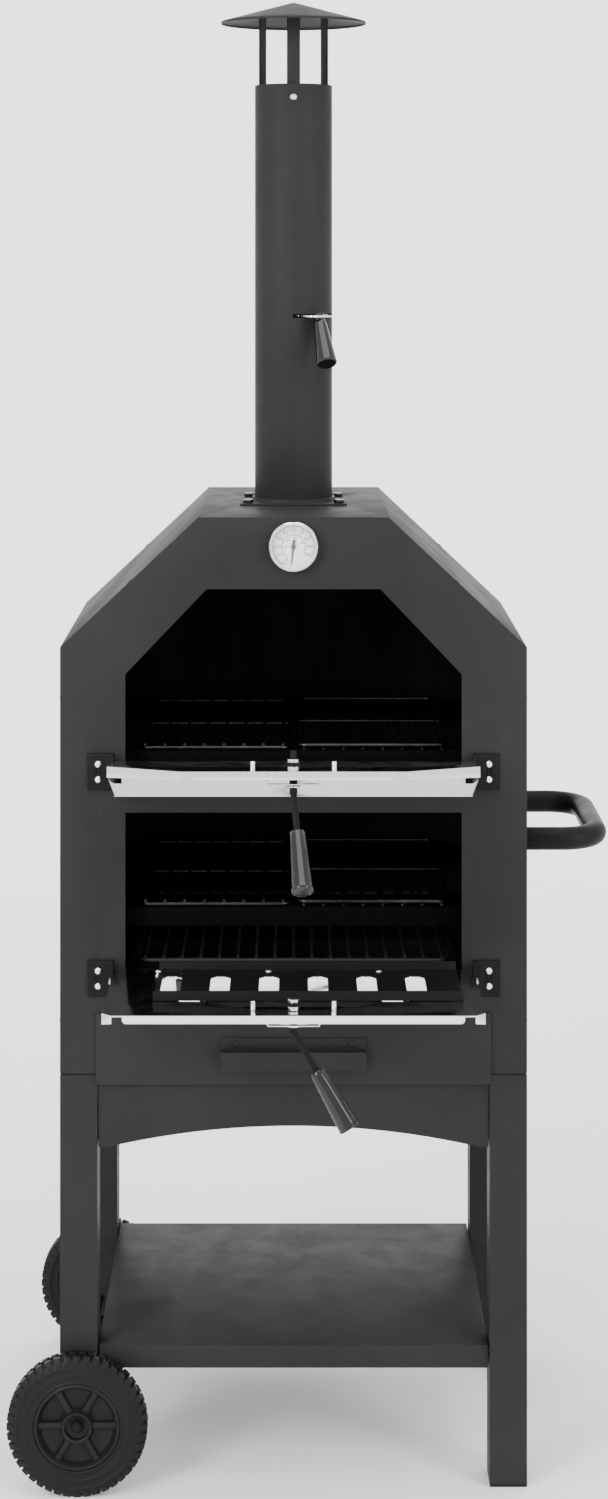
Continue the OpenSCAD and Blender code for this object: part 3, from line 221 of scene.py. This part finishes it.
def powder_coat(name, base, rough=0.5, sooty=False, spec=0.06):
    """Satin powder coat: orange peel, faint mottling, dust, rubbed patches, and soot inside the oven."""
    n = Nodes(name)
    mottle = n.ramp(n.noise(7, 4, 0.6), [(0.3, scaled(base, 0.9)), (0.7, scaled(base, 1.12))])
    grain = n.ramp(n.noise(900, 2, 0.5), [(0.35, 0.82), (0.65, 1.0)])
    colour = n.mix(1.0, mottle, grain, "MULTIPLY")
    dust = n.ramp(n.noise(330, 6, 0.75), [(0.66, 0.0), (0.78, 1.0)])
    colour = n.mix(n.maths("MULTIPLY", dust, 0.08), colour, (0.16, 0.155, 0.15))
    rub = n.ramp(n.noise(26, 5, 0.65, distortion=0.6), [(0.35, rough - 0.05), (0.7, rough + 0.08)])
    if sooty:
        centre = n.tree.nodes.new("ShaderNodeVectorMath")
        centre.operation = "SUBTRACT"
        centre.inputs[1].default_value = (MID_X, MID_Y, 0.72)
        n.link(n.place, centre.inputs[0])
        facing = n.tree.nodes.new("ShaderNodeVectorMath")
        facing.operation = "DOT_PRODUCT"
        n.link(centre.outputs[0], facing.inputs[0])
        n.link(n.coord.outputs["Normal"], facing.inputs[1])
        inside = n.maths("LESS_THAN", facing.outputs["Value"], -0.001)
        streaks = n.ramp(n.noise(9, 6, 0.7, n.stretch((2.5, 2.5, 0.7))), [(0.3, (0.003, 0.003, 0.003)),
                                                                      (0.75, (0.012, 0.0115, 0.011))])
        colour = n.mix(inside, colour, streaks)
        rub = n.mix(inside, rub, (0.85, 0.85, 0.85))
    n.colour(colour)
    n.roughness(rub)
    n.bump([(n.noise(60, 2), 0.08), (n.noise(1300, 2, 0.6), 0.32)], 0.0003)
    n.value("Specular IOR Level", spec)
    return n.material


def stainless(name):
    """Polished stainless sheet: a faint rolled grain, hairline scratches and finger smears."""
    n = Nodes(name)
    n.value("Metallic", 1.0)
    tone = n.ramp(n.noise(5, 4, 0.6), [(0.3, (0.86, 0.852, 0.836)), (0.7, (0.95, 0.945, 0.93))])
    lines = n.noise(60, 5, 0.7, n.stretch((1, 55, 55)))
    tone = n.mix(1.0, tone, n.ramp(lines, [(0.3, 0.93), (0.7, 1.0)]), "MULTIPLY")
    n.colour(tone)
    smear = n.noise(18, 4, 0.6, distortion=1.5)
    grain = n.ramp(lines, [(0.35, 0.0), (0.65, 0.05)])
    n.roughness(n.maths("ADD", n.ramp(smear, [(0.35, 0.07), (0.75, 0.17)]), grain))
    scratch = n.ramp(n.cells(90, n.stretch((0.5, 9, 9)), "DISTANCE_TO_EDGE"), [(0.0, 1.0), (0.012, 0.0)])
    n.bump([(n.noise(11, 2), 0.06), (lines, 0.02), (scratch, 0.012)], 0.0004)
    return n.material


def bright_zinc(name, base=(0.72, 0.72, 0.73), rough=0.24):
    """Bright plated steel: cloudy plating and tiny pits."""
    n = Nodes(name)
    n.value("Metallic", 1.0)
    cloud = n.noise(160, 4, 0.6)
    n.colour(n.ramp(cloud, [(0.3, scaled(base, 0.86)), (0.7, scaled(base, 1.12))]))
    n.roughness(n.ramp(n.noise(420, 3, 0.6), [(0.3, rough - 0.07), (0.7, rough + 0.1)]))
    n.bump([(n.noise(1700, 2), 0.12)], 0.0001)
    return n.material


def rack_wire(name):
    """Chromed wire with brown heat bloom and dull patches."""
    n = Nodes(name)
    n.value("Metallic", 1.0)
    bloom = n.noise(14, 5, 0.65)
    n.colour(n.ramp(bloom, [(0.3, (0.055, 0.054, 0.053)), (0.55, (0.030, 0.029, 0.028)),
                            (0.8, (0.014, 0.011, 0.009))]))
    n.roughness(n.ramp(n.noise(240, 4), [(0.3, 0.2), (0.7, 0.42)]))
    n.bump([(n.noise(2100, 2), 0.15)], 0.0001)
    return n.material


def black_iron(name):
    """Dark enamelled wire with ash and burnt spots."""
    n = Nodes(name)
    ash = n.ramp(n.noise(180, 6, 0.7), [(0.55, 0.0), (0.75, 0.35)])
    base = n.ramp(n.noise(20, 4), [(0.3, (0.003, 0.003, 0.003)), (0.7, (0.009, 0.0085, 0.008))])
    n.colour(n.mix(ash, base, (0.03, 0.029, 0.028)))
    n.roughness(n.ramp(n.noise(300, 3), [(0.3, 0.45), (0.7, 0.75)]))
    n.bump([(n.noise(700, 4, 0.7), 0.5)], 0.0002)
    return n.material


def moulded_plastic(name, base, rough, texture=0.25, scale=2200):
    """Moulded plastic: fine spark grain, flow marks and a little lint."""
    n = Nodes(name)
    flow = n.ramp(n.noise(30, 4, 0.6, distortion=0.8), [(0.3, scaled(base, 0.85)), (0.7, scaled(base, 1.15))])
    lint = n.ramp(n.noise(700, 5, 0.75), [(0.68, 0.0), (0.76, 0.16)])
    n.colour(n.mix(lint, flow, (0.12, 0.12, 0.12)))
    n.roughness(n.ramp(n.noise(90, 4, 0.6), [(0.3, rough - 0.05), (0.7, rough + 0.08)]))
    n.bump([(n.noise(scale, 2, 0.5), texture)], 0.0002)
    n.value("Specular IOR Level", 0.16)
    return n.material


def glossy_black(name):
    """Glossy black plastic of the grips: swirl marks and faint fingerprints."""
    n = Nodes(name)
    n.colour(n.ramp(n.noise(25, 3), [(0.3, (0.0025, 0.0025, 0.0028)), (0.7, (0.006, 0.006, 0.0065))]))
    prints = n.noise(120, 5, 0.7, distortion=2.0)
    n.roughness(n.ramp(prints, [(0.35, 0.10), (0.7, 0.24)]))
    n.bump([(n.noise(90, 2), 0.05), (n.noise(1500, 2), 0.05)], 0.0002)
    n.value("Specular IOR Level", 0.42)
    return n.material


def white_enamel(name):
    """White dial enamel, very slightly uneven."""
    n = Nodes(name)
    n.colour(n.ramp(n.noise(220, 4), [(0.3, (0.86, 0.86, 0.845)), (0.7, (0.93, 0.93, 0.92))]))
    n.roughness(n.ramp(n.noise(500, 3), [(0.3, 0.42), (0.7, 0.55)]))
    n.bump([(n.noise(1500, 2), 0.05)], 0.0001)
    return n.material


def print_ink(name):
    """Black printed marks with a thin, uneven film."""
    n = Nodes(name)
    n.colour(n.ramp(n.noise(900, 3), [(0.3, (0.010, 0.010, 0.011)), (0.7, (0.03, 0.03, 0.03))]))
    n.roughness(n.ramp(n.noise(700, 2), [(0.3, 0.45), (0.7, 0.6)]))
    return n.material


def clear_glass(name):
    """Thin clear glass with faint wiping marks; nearly all of it lets the dial through."""
    n = Nodes(name)
    n.colour(n.ramp(n.noise(60, 3), [(0.3, (0.90, 0.91, 0.91)), (0.7, (0.97, 0.97, 0.97))]))
    n.roughness(n.ramp(n.noise(150, 4, 0.7), [(0.4, 0.02), (0.8, 0.07)]))
    wiped = n.noise(45, 5, 0.7, distortion=1.2)
    n.link(n.ramp(wiped, [(0.3, 0.015), (0.75, 0.04)]), n.shader.inputs["Alpha"])
    return n.material


def studio_floor(name):
    """Pale matt studio floor."""
    n = Nodes(name)
    n.colour(n.ramp(n.noise(3, 4), [(0.3, (0.90, 0.90, 0.90)), (0.7, (0.93, 0.93, 0.93))]))
    n.roughness(n.ramp(n.noise(5, 2), [(0.3, 0.75), (0.7, 0.85)]))
    return n.material


COAT = (0.0225, 0.0225, 0.0237)
coat = powder_coat("powder_coat", COAT)
coat_body = powder_coat("powder_coat_oven", COAT, sooty=True)
coat_dark = powder_coat("powder_coat_dark", (0.009, 0.009, 0.0095), 0.42)
# Near-black rail steel: partly real soot, partly painted shade that keeps the rack rails as dark as the
# shaded oven chamber.
rail_soot_and_painted_shade = powder_coat("sooty_steel_and_painted_shade", (0.0030, 0.0029, 0.0028), 0.9, spec=0.03)
steel = stainless("polished_stainless")
zinc = bright_zinc("bright_zinc", (0.85, 0.85, 0.86))
dark_chrome = bright_zinc("dark_chrome", (0.075, 0.075, 0.08), 0.2)
chrome = bright_zinc("polished_chrome", (0.90, 0.90, 0.91), 0.10)
wire = rack_wire("heated_chrome_wire")
iron = black_iron("enamelled_iron")
wheel_plastic = moulded_plastic("wheel_plastic", (0.0075, 0.0075, 0.0075), 0.45)
tyre_plastic = moulded_plastic("tyre_plastic", (0.006, 0.006, 0.006), 0.5, 0.4, 1500)
grip = glossy_black("grip_plastic")
dull_plastic = moulded_plastic("cap_plastic", (0.006, 0.006, 0.006), 0.5)
tube_coat = powder_coat("tube_coat", (0.012, 0.012, 0.0125), 0.38)
enamel = white_enamel("dial_enamel")
ink = print_ink("dial_ink")
glass = clear_glass("gauge_glass")


# ---------- finish of the CAD nodes ----------

SHARP_ANGLE = math.radians(34)


def smooth_group():
    """Shades smooth everywhere but across sharp edges."""
    group = bpy.data.node_groups.new("smooth_by_angle", "GeometryNodeTree")
    group.interface.new_socket("Geometry", in_out="INPUT", socket_type="NodeSocketGeometry")
    group.interface.new_socket("Geometry", in_out="OUTPUT", socket_type="NodeSocketGeometry")
    start = group.nodes.new("NodeGroupInput")
    end = group.nodes.new("NodeGroupOutput")
    smooth = group.nodes.new("GeometryNodeSetShadeSmooth")
    smooth.domain = "FACE"
    sharp = group.nodes.new("GeometryNodeSetShadeSmooth")
    sharp.domain = "EDGE"
    sharp.inputs["Shade Smooth"].default_value = False
    angle = group.nodes.new("GeometryNodeInputMeshEdgeAngle")
    wide = group.nodes.new("FunctionNodeCompare")
    wide.operation = "GREATER_THAN"
    wide.inputs[1].default_value = SHARP_ANGLE
    group.links.new(angle.outputs[0], wide.inputs[0])
    group.links.new(wide.outputs[0], sharp.inputs["Selection"])
    group.links.new(start.outputs[0], smooth.inputs[0])
    group.links.new(smooth.outputs[0], sharp.inputs[0])
    group.links.new(sharp.outputs[0], end.inputs[0])
    return group


SMOOTH = smooth_group()


def soften(obj, width=0.0004, segments=2):
    """Rounds the edges a little and shades curved faces smooth."""
    weld = obj.modifiers.new("weld", "WELD")
    weld.merge_threshold = 0.00001
    if width:
        bevel = obj.modifiers.new("bevel", "BEVEL")
        bevel.width = width
        bevel.segments = segments
        bevel.limit_method = "ANGLE"
        bevel.angle_limit = SHARP_ANGLE
        bevel.use_clamp_overlap = True
    smooth = obj.modifiers.new("smooth", "NODES")
    smooth.node_group = SMOOTH


def dress(names, material, width=0.0004, segments=2):
    for name in names.split():
        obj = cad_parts[name]
        obj.data.materials.clear()
        obj.data.materials.append(material)
        soften(obj, width, segments)


dress("front_panel back_panel left_side_panel right_side_panel roof_panel base_panel", coat_body, 0.0005)
dress("aprons bottom_shelf ash_tray ash_tray_pull", coat, 0.0005)
# The rack rails get the near-black steel: real soot plus painted shade of the chamber.
dress("rack_rails", rail_soot_and_painted_shade, 0.0005)
dress("left_legs right_legs", coat, 0)
dress("flue_pipe flue_flange rain_cap cap_straps damper_seat", coat, 0.0004)
dress("hinge_brackets vent_slider", coat_dark, 0.0005)
dress("side_handle", tube_coat, 0.0004)
dress("upper_door_panel lower_door_panel upper_handle_plate lower_handle_plate damper_plate", steel, 0.0003)
dress("flange_bolts", dark_chrome, 0.0003)
dress("frame_bolts hinge_rivets hinge_pins upper_door_studs lower_door_studs", zinc, 0.0003)
dress("upper_latch_nuts lower_latch_nuts", zinc, 0.0003)
dress("panel_screws upper_latch_shaft lower_latch_shaft upper_latch_cam lower_latch_cam", coat_dark, 0.0003)
dress("axle axle_nuts", coat_dark, 0.0003)
dress("left_upper_rack right_upper_rack left_lower_rack right_lower_rack", wire, 0)
dress("charcoal_grate", iron, 0)
dress("upper_handle_grip lower_handle_grip damper_grip vent_knob", grip, 0.0006, 3)
dress("foot_caps", dull_plastic, 0.001, 3)
dress("front_tyre rear_tyre", tyre_plastic, 0.0005)
dress("front_wheel_hub rear_wheel_hub", wheel_plastic, 0.0008, 3)
dress("gauge_case", chrome, 0.0004)
dress("gauge_dial", enamel, 0.0001)
dress("gauge_needle", ink, 0.0001)
dress("gauge_glass", glass, 0.0003)

# ---------- detail pieces ----------

def mesh_object(name, bm, material, body, replaced=()):
    bmesh.ops.recalc_face_normals(bm, faces=bm.faces)
    mesh = bpy.data.meshes.new(name)
    bm.to_mesh(mesh)
    bm.free()
    obj = link_new(name, mesh, material)
    if replaced:
        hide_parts(*replaced)
    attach(obj, body)
    return obj


def lathe(bm, profile, steps, place):
    """Sweeps a closed outline of (radius, along) points round Y; place puts it in the frame."""
    rings = []
    for i in range(steps):
        a = 2 * math.pi * i / steps
        rings.append([bm.verts.new(place @ Vector((r * math.cos(a), y, r * math.sin(a))))
                      for r, y in profile])
    count = len(profile)
    for i in range(steps):
        a, b = rings[i], rings[(i + 1) % steps]
        for j in range(count):
            k = (j + 1) % count
            bm.faces.new((a[j], b[j], b[k], a[k]))


def hexahedron(bm, corners):
    """Four lower corners, then four upper corners, in the same turn."""
    v = [bm.verts.new(c) for c in corners]
    for face in ((3, 2, 1, 0), (4, 5, 6, 7), (0, 1, 5, 4), (1, 2, 6, 5), (2, 3, 7, 6), (3, 0, 4, 7)):
        bm.faces.new([v[i] for i in face])


def wheel_place(node):
    low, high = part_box(node)
    centre = (Vector(low) + Vector(high)) / 2
    return Matrix.Translation((centre.x, low[1], centre.z)), high[1] - low[1], (high[0] - low[0]) / 2


def mirrored_profile(half, width):
    return half + [(r, width - y) for r, y in reversed(half)]


TYRE_BEAD = 0.0462
HUB_RIM = 0.0459
LUG_COUNT = 44
SPOKE_COUNT = 6
SHANK_RADIUS = 0.00195


def add_tyre(node, body):
    place, w, r = wheel_place(node)
    bm = bmesh.new()
    base = r - 0.0024
    inner = TYRE_BEAD
    # bead, two raised rings on the side wall, shoulder
    half = [(inner, 0.0040), (inner, 0.0016), (inner + 0.0010, 0.0009), (inner + 0.0022, 0.0009),
            (inner + 0.0030, 0.0017), (inner + 0.0085, 0.0013), (inner + 0.0092, 0.0007),
            (inner + 0.0102, 0.0007), (inner + 0.0109, 0.0013), (inner + 0.0170, 0.0014),
            (inner + 0.0178, 0.0008), (inner + 0.0186, 0.0008), (inner + 0.0194, 0.0018),
            (base - 0.0028, 0.0030), (base - 0.0006, 0.0056), (base, 0.0090)]
    lathe(bm, mirrored_profile(half, w), 176, place)

    pitch = 2 * math.pi / LUG_COUNT

    def spot(a, rad, y):
        return place @ Vector((rad * math.cos(a), y, rad * math.sin(a)))

    def lug(a, half_low, half_high, y0, y1, low, high, lean=0.0):
        corners = []
        for rad, half, inset in ((low, half_low, 0.0), (high, half_high, 0.0004)):
            a0 = half / rad
            shift = lean / rad
            corners += [spot(a - a0, rad, y0 + inset), spot(a + a0, rad, y0 + inset),
                        spot(a + a0 + shift, rad, y1 - inset), spot(a - a0 + shift, rad, y1 - inset)]
        hexahedron(bm, corners)

    top = r - 0.00015
    for i in range(LUG_COUNT):
        a = i * pitch
        lug(a, 0.0046, 0.0036, 0.0042, 0.0112, base - 0.0012, top, 0.0014)
        lug(a + pitch / 2, 0.0046, 0.0036, w - 0.0112, w - 0.0042, base - 0.0012, top, -0.0014)
        lug(a + pitch / 4, 0.0022, 0.0016, w / 2 - 0.0016, w / 2 + 0.0016, base - 0.001, top - 0.0003)
        # shallow blocks that run over the shoulders on to the side walls
        for turn, side in ((0.0, 0), (pitch / 2, 1)):
            rows = ((base - 0.0085, 0.0019, 0.0014), (base - 0.0050, 0.0017, 0.0024),
                    (base - 0.0016, 0.0028, 0.0034), (top - 0.0004, 0.0048, 0.0036))
            quads = []
            for rad, y, half in rows:
                y = y if side == 0 else w - y
                deep = 0.0065 if side == 0 else w - 0.0065
                wide = half / rad
                c = a + turn
                quads.append([spot(c - wide, rad, y), spot(c + wide, rad, y),
                              spot(c + wide, rad, deep), spot(c - wide, rad, deep)])
            for low_row, high_row in zip(quads, quads[1:]):
                hexahedron(bm, low_row + high_row)
    obj = mesh_object(node + "_tread", bm, tyre_plastic, body, (node,))
    soften(obj, 0.0003)


def add_hub(node, tyre, body):
    place, w, _ = wheel_place(node)
    bm = bmesh.new()
    rim = HUB_RIM
    web = w / 2
    # rim with a rolled lip, web and barrel, in one section
    half = [(rim, 0.0020), (rim - 0.0012, 0.0011), (rim - 0.0030, 0.0011), (rim - 0.0042, 0.0024),
            (rim - 0.0052, 0.0060), (rim - 0.0075, web - 0.0030), (rim - 0.0100, web - 0.0022),
            (0.0195, web - 0.0022), (0.0178, web - 0.0040), (0.0166, 0.0020),
            (0.0158, 0.0006), (0.0142, 0.0003),
            (0.0130, 0.0012), (0.0122, 0.0058), (0.0116, 0.0062), (0.0042, 0.0062)]
    lathe(bm, mirrored_profile(half, w), 120, place)
    steps = 9
    for i in range(SPOKE_COUNT):
        for side in (0, 1):
            turn = Matrix.Rotation(2 * math.pi * i / SPOKE_COUNT, 4, "Y")
            rows = []
            for t in range(8):
                rad = 0.0150 + (rim - 0.0045 - 0.0150) * t / 7
                # the ridge is a little wider at both ends
                swell = 1 + 0.22 * (abs(t - 3.5) / 3.5) ** 3
                ring = []
                for k in range(steps):
                    a = math.pi * k / (steps - 1)
                    across = 0.0044 * swell * math.cos(a)
                    out = web - 0.0015 - (web - 0.0060) * max(0.0, math.sin(a)) ** 0.7
                    y = out if side == 0 else w - out
                    ring.append(bm.verts.new(place @ (turn @ Vector((rad, y, across)))))
                rows.append(ring)
            for a, b in zip(rows, rows[1:]):
                for k in range(steps - 1):
                    bm.faces.new((a[k], b[k], b[k + 1], a[k + 1]))
                bm.faces.new((a[steps - 1], b[steps - 1], b[0], a[0]))
            bm.faces.new(rows[0])
            bm.faces.new(list(reversed(rows[-1])))
    obj = mesh_object(node + "_spoked", bm, wheel_plastic, body, (node,))
    soften(obj, 0)


def islands(node):
    """The separate solids of a CAD node, as lists of points."""
    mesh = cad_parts[node].data
    keys, parent = {}, []
    index = []
    for v in mesh.vertices:
        key = tuple(round(c * 100000) for c in v.co)
        if key not in keys:
            keys[key] = len(parent)
            parent.append(len(parent))
        index.append(keys[key])

    def root(i):
        while parent[i] != i:
            parent[i] = parent[parent[i]]
            i = parent[i]
        return i

    for edge in mesh.edges:
        a, b = (root(index[v]) for v in edge.vertices)
        parent[a] = b
    groups = {}
    for key, i in keys.items():
        groups.setdefault(root(i), []).append(Vector(key) / 100000)
    return list(groups.values())


def screw_axis(points):
    """(centre of the head's flat side, direction out of the head) of a round-headed screw."""
    centre = sum(points, Vector()) / len(points)
    ends = max(points, key=lambda p: (p - centre).length)
    axis = (ends - centre).normalized()
    for _ in range(12):
        axis = sum(((p - centre) * (p - centre).dot(axis) for p in points), Vector()).normalized()
    along = [(p - centre).dot(axis) for p in points]
    wide = max(points, key=lambda p: ((p - centre) - axis * (p - centre).dot(axis)).length)
    if (wide - centre).dot(axis) < (max(along) + min(along)) / 2:
        axis = -axis
        along = [-a for a in along]
    flat = (wide - centre).dot(axis)
    radius = ((wide - centre) - axis * flat).length
    return centre + axis * flat, axis, radius, max(along) - flat, flat - min(along)


def cross_head(bm, place, radius, height, shank_r, shank_len):
    """A domed head with a cross recess, and its shank, along +Z."""
    rings, steps = 15, 64
    grid = []
    for i in range(rings + 1):
        t = i / rings
        rad = radius * t
        row = []
        for k in range(steps):
            a = 2 * math.pi * k / steps
            x, y = rad * math.cos(a), rad * math.sin(a)
            z = height * max(0.0, 1 - t ** 2.6)
            arm = min(abs(x), abs(y))
            reach = max(abs(x), abs(y))
            if arm < radius * 0.135 and reach < radius * 0.56:
                z -= height * 0.62 * (1 - 0.25 * reach / radius)
            row.append(bm.verts.new(place @ Vector((x, y, z))))
        grid.append(row)
    for i in range(1, rings):
        for k in range(steps):
            m = (k + 1) % steps
            bm.faces.new((grid[i][k], grid[i][m], grid[i + 1][m], grid[i + 1][k]))
    middle = bm.verts.new(place @ Vector((0, 0, height * 0.38)))
    for v in grid[0]:
        bm.verts.remove(v)
    for k in range(steps):
        bm.faces.new((middle, grid[1][k], grid[1][(k + 1) % steps]))
    low = []
    for rad, z in ((radius, -0.00005), (shank_r, -0.00005), (shank_r, -shank_len)):
        low.append([bm.verts.new(place @ Vector((rad * math.cos(2 * math.pi * k / steps),
                                                 rad * math.sin(2 * math.pi * k / steps), z)))
                    for k in range(steps)])
    for a, b in ((grid[rings], low[0]), (low[0], low[1]), (low[1], low[2])):
        for k in range(steps):
            m = (k + 1) % steps
            bm.faces.new((a[k], a[m], b[m], b[k]))
    bm.faces.new(low[2])


def add_screws(node, material, bright):
    """Cross heads for every screw; the ones of the rain cap are bright."""
    cap_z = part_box("cap_straps")[0][2]
    heads = []
    bm = bmesh.new()
    for n, points in enumerate(islands(node)):
        seat, axis, radius, height, deep = screw_axis(points)
        turn = axis.to_track_quat("Z", "Y").to_matrix().to_4x4()
        spin = Matrix.Rotation(math.radians(17 + 37 * n % 90), 4, "Z")
        first = len(bm.faces)
        cross_head(bm, Matrix.Translation(seat) @ turn @ spin, radius, height, SHANK_RADIUS, deep)
        if seat.z > cap_z - 0.05:
            heads.append((first, len(bm.faces)))
    bm.faces.ensure_lookup_table()
    for first, last in heads:
        for i in range(first, last):
            bm.faces[i].material_index = 1
    obj = mesh_object(node + "_cross_heads", bm, material, "oven", (node,))
    obj.data.materials.append(bright)
    soften(obj, 0)


def add_dial_print():
    low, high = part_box("gauge_dial")
    cx, cz = (low[0] + high[0]) / 2, (low[2] + high[2]) / 2
    y = low[1] - 0.00006
    rad = (high[0] - low[0]) / 2
    bm = bmesh.new()

    def spot(a, r):
        return Vector((cx + r * math.sin(a), y, cz + r * math.cos(a)))

    def tick(a, r0, r1, half):
        side = Vector((math.cos(a), 0, -math.sin(a))) * half
        p, q = spot(a, r0), spot(a, r1)
        bm.faces.new([bm.verts.new(v) for v in (p - side, p + side, q + side, q - side)])

    def arc(a0, a1, r0, r1, steps):
        for i in range(steps):
            a, b = a0 + (a1 - a0) * i / steps, a0 + (a1 - a0) * (i + 1) / steps
            bm.faces.new([bm.verts.new(v) for v in (spot(a, r0), spot(b, r0), spot(b, r1), spot(a, r1))])

    start, sweep = math.radians(-150), math.radians(270)
    arc(start, start + sweep, rad * 0.900, rad * 0.924, 90)
    arc(start, start + sweep, rad * 0.495, rad * 0.515, 70)
    for i in range(55):
        a = start + sweep * i / 54
        if i % 6 == 0:
            tick(a, rad * 0.79, rad * 0.915, 0.00034)
        else:
            tick(a, rad * 0.85, rad * 0.915, 0.00018)
    for i in range(28):
        a = start + sweep * i / 27
        tick(a, rad * 0.505, rad * (0.60 if i % 3 == 0 else 0.57), 0.00026)
    obj = mesh_object("dial_scale", bm, ink, "oven", ())

    spots = []
    for i in range(10):
        spots.append((str(50 * i + 50), start + sweep * i / 9, rad * 0.690, rad * 0.175))
    for i in range(4):
        spots.append((str(100 * i + 100), start + sweep * (i + 1) / 5, rad * 0.375, rad * 0.130))
    verts, faces = [], []
    for word, a, r, size in spots:
        curve = bpy.data.curves.new("figures", "FONT")
        curve.body = word
        curve.size = size
        curve.align_x = "CENTER"
        curve.align_y = "CENTER"
        curve.resolution_u = 2
        text = bpy.data.objects.new("figures", curve)
        bpy.context.scene.collection.objects.link(text)
        mesh = bpy.data.meshes.new_from_object(text.evaluated_get(bpy.context.evaluated_depsgraph_get()))
        centre = spot(a, r)
        base = len(verts)
        verts += [(centre.x + v.co.x, y, centre.z + v.co.y) for v in mesh.vertices]
        faces += [[base + i for i in p.vertices] for p in mesh.polygons]
        bpy.data.objects.remove(text)
        bpy.data.meshes.remove(mesh)
        bpy.data.curves.remove(curve)
    mesh = bpy.data.meshes.new("dial_figures")
    mesh.from_pydata(verts, [], faces)
    figures = link_new("dial_figures", mesh, ink)
    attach(figures, "oven")


for side in ("front", "rear"):
    add_tyre(side + "_tyre", side + "_wheel")
    add_hub(side + "_wheel_hub", side + "_tyre", side + "_wheel")
add_screws("panel_screws", coat_dark, zinc)
add_dial_print()

add_camera()
add_world()
add_floor(studio_floor("studio_floor"))
add_area("key", (MID_X - 2.2, FRONT_Y - 2.6, 2.3), (MID_X, MID_Y, 0.9), (1.0, 2.4), 110)
add_area("fill", (MID_X + 2.6, FRONT_Y - 2.2, 1.6), (MID_X, MID_Y, 0.8), (0.8, 2.4), 55)
add_area("top", (MID_X, MID_Y - 0.4, 3.4), (MID_X, MID_Y, 0.8), (2.4, 2.4), 70)
add_area("backdrop", (MID_X, MID_Y + 2.6, 4.2), (MID_X, MID_Y + 7.0, 1.4), (6.0, 1.2), 420)
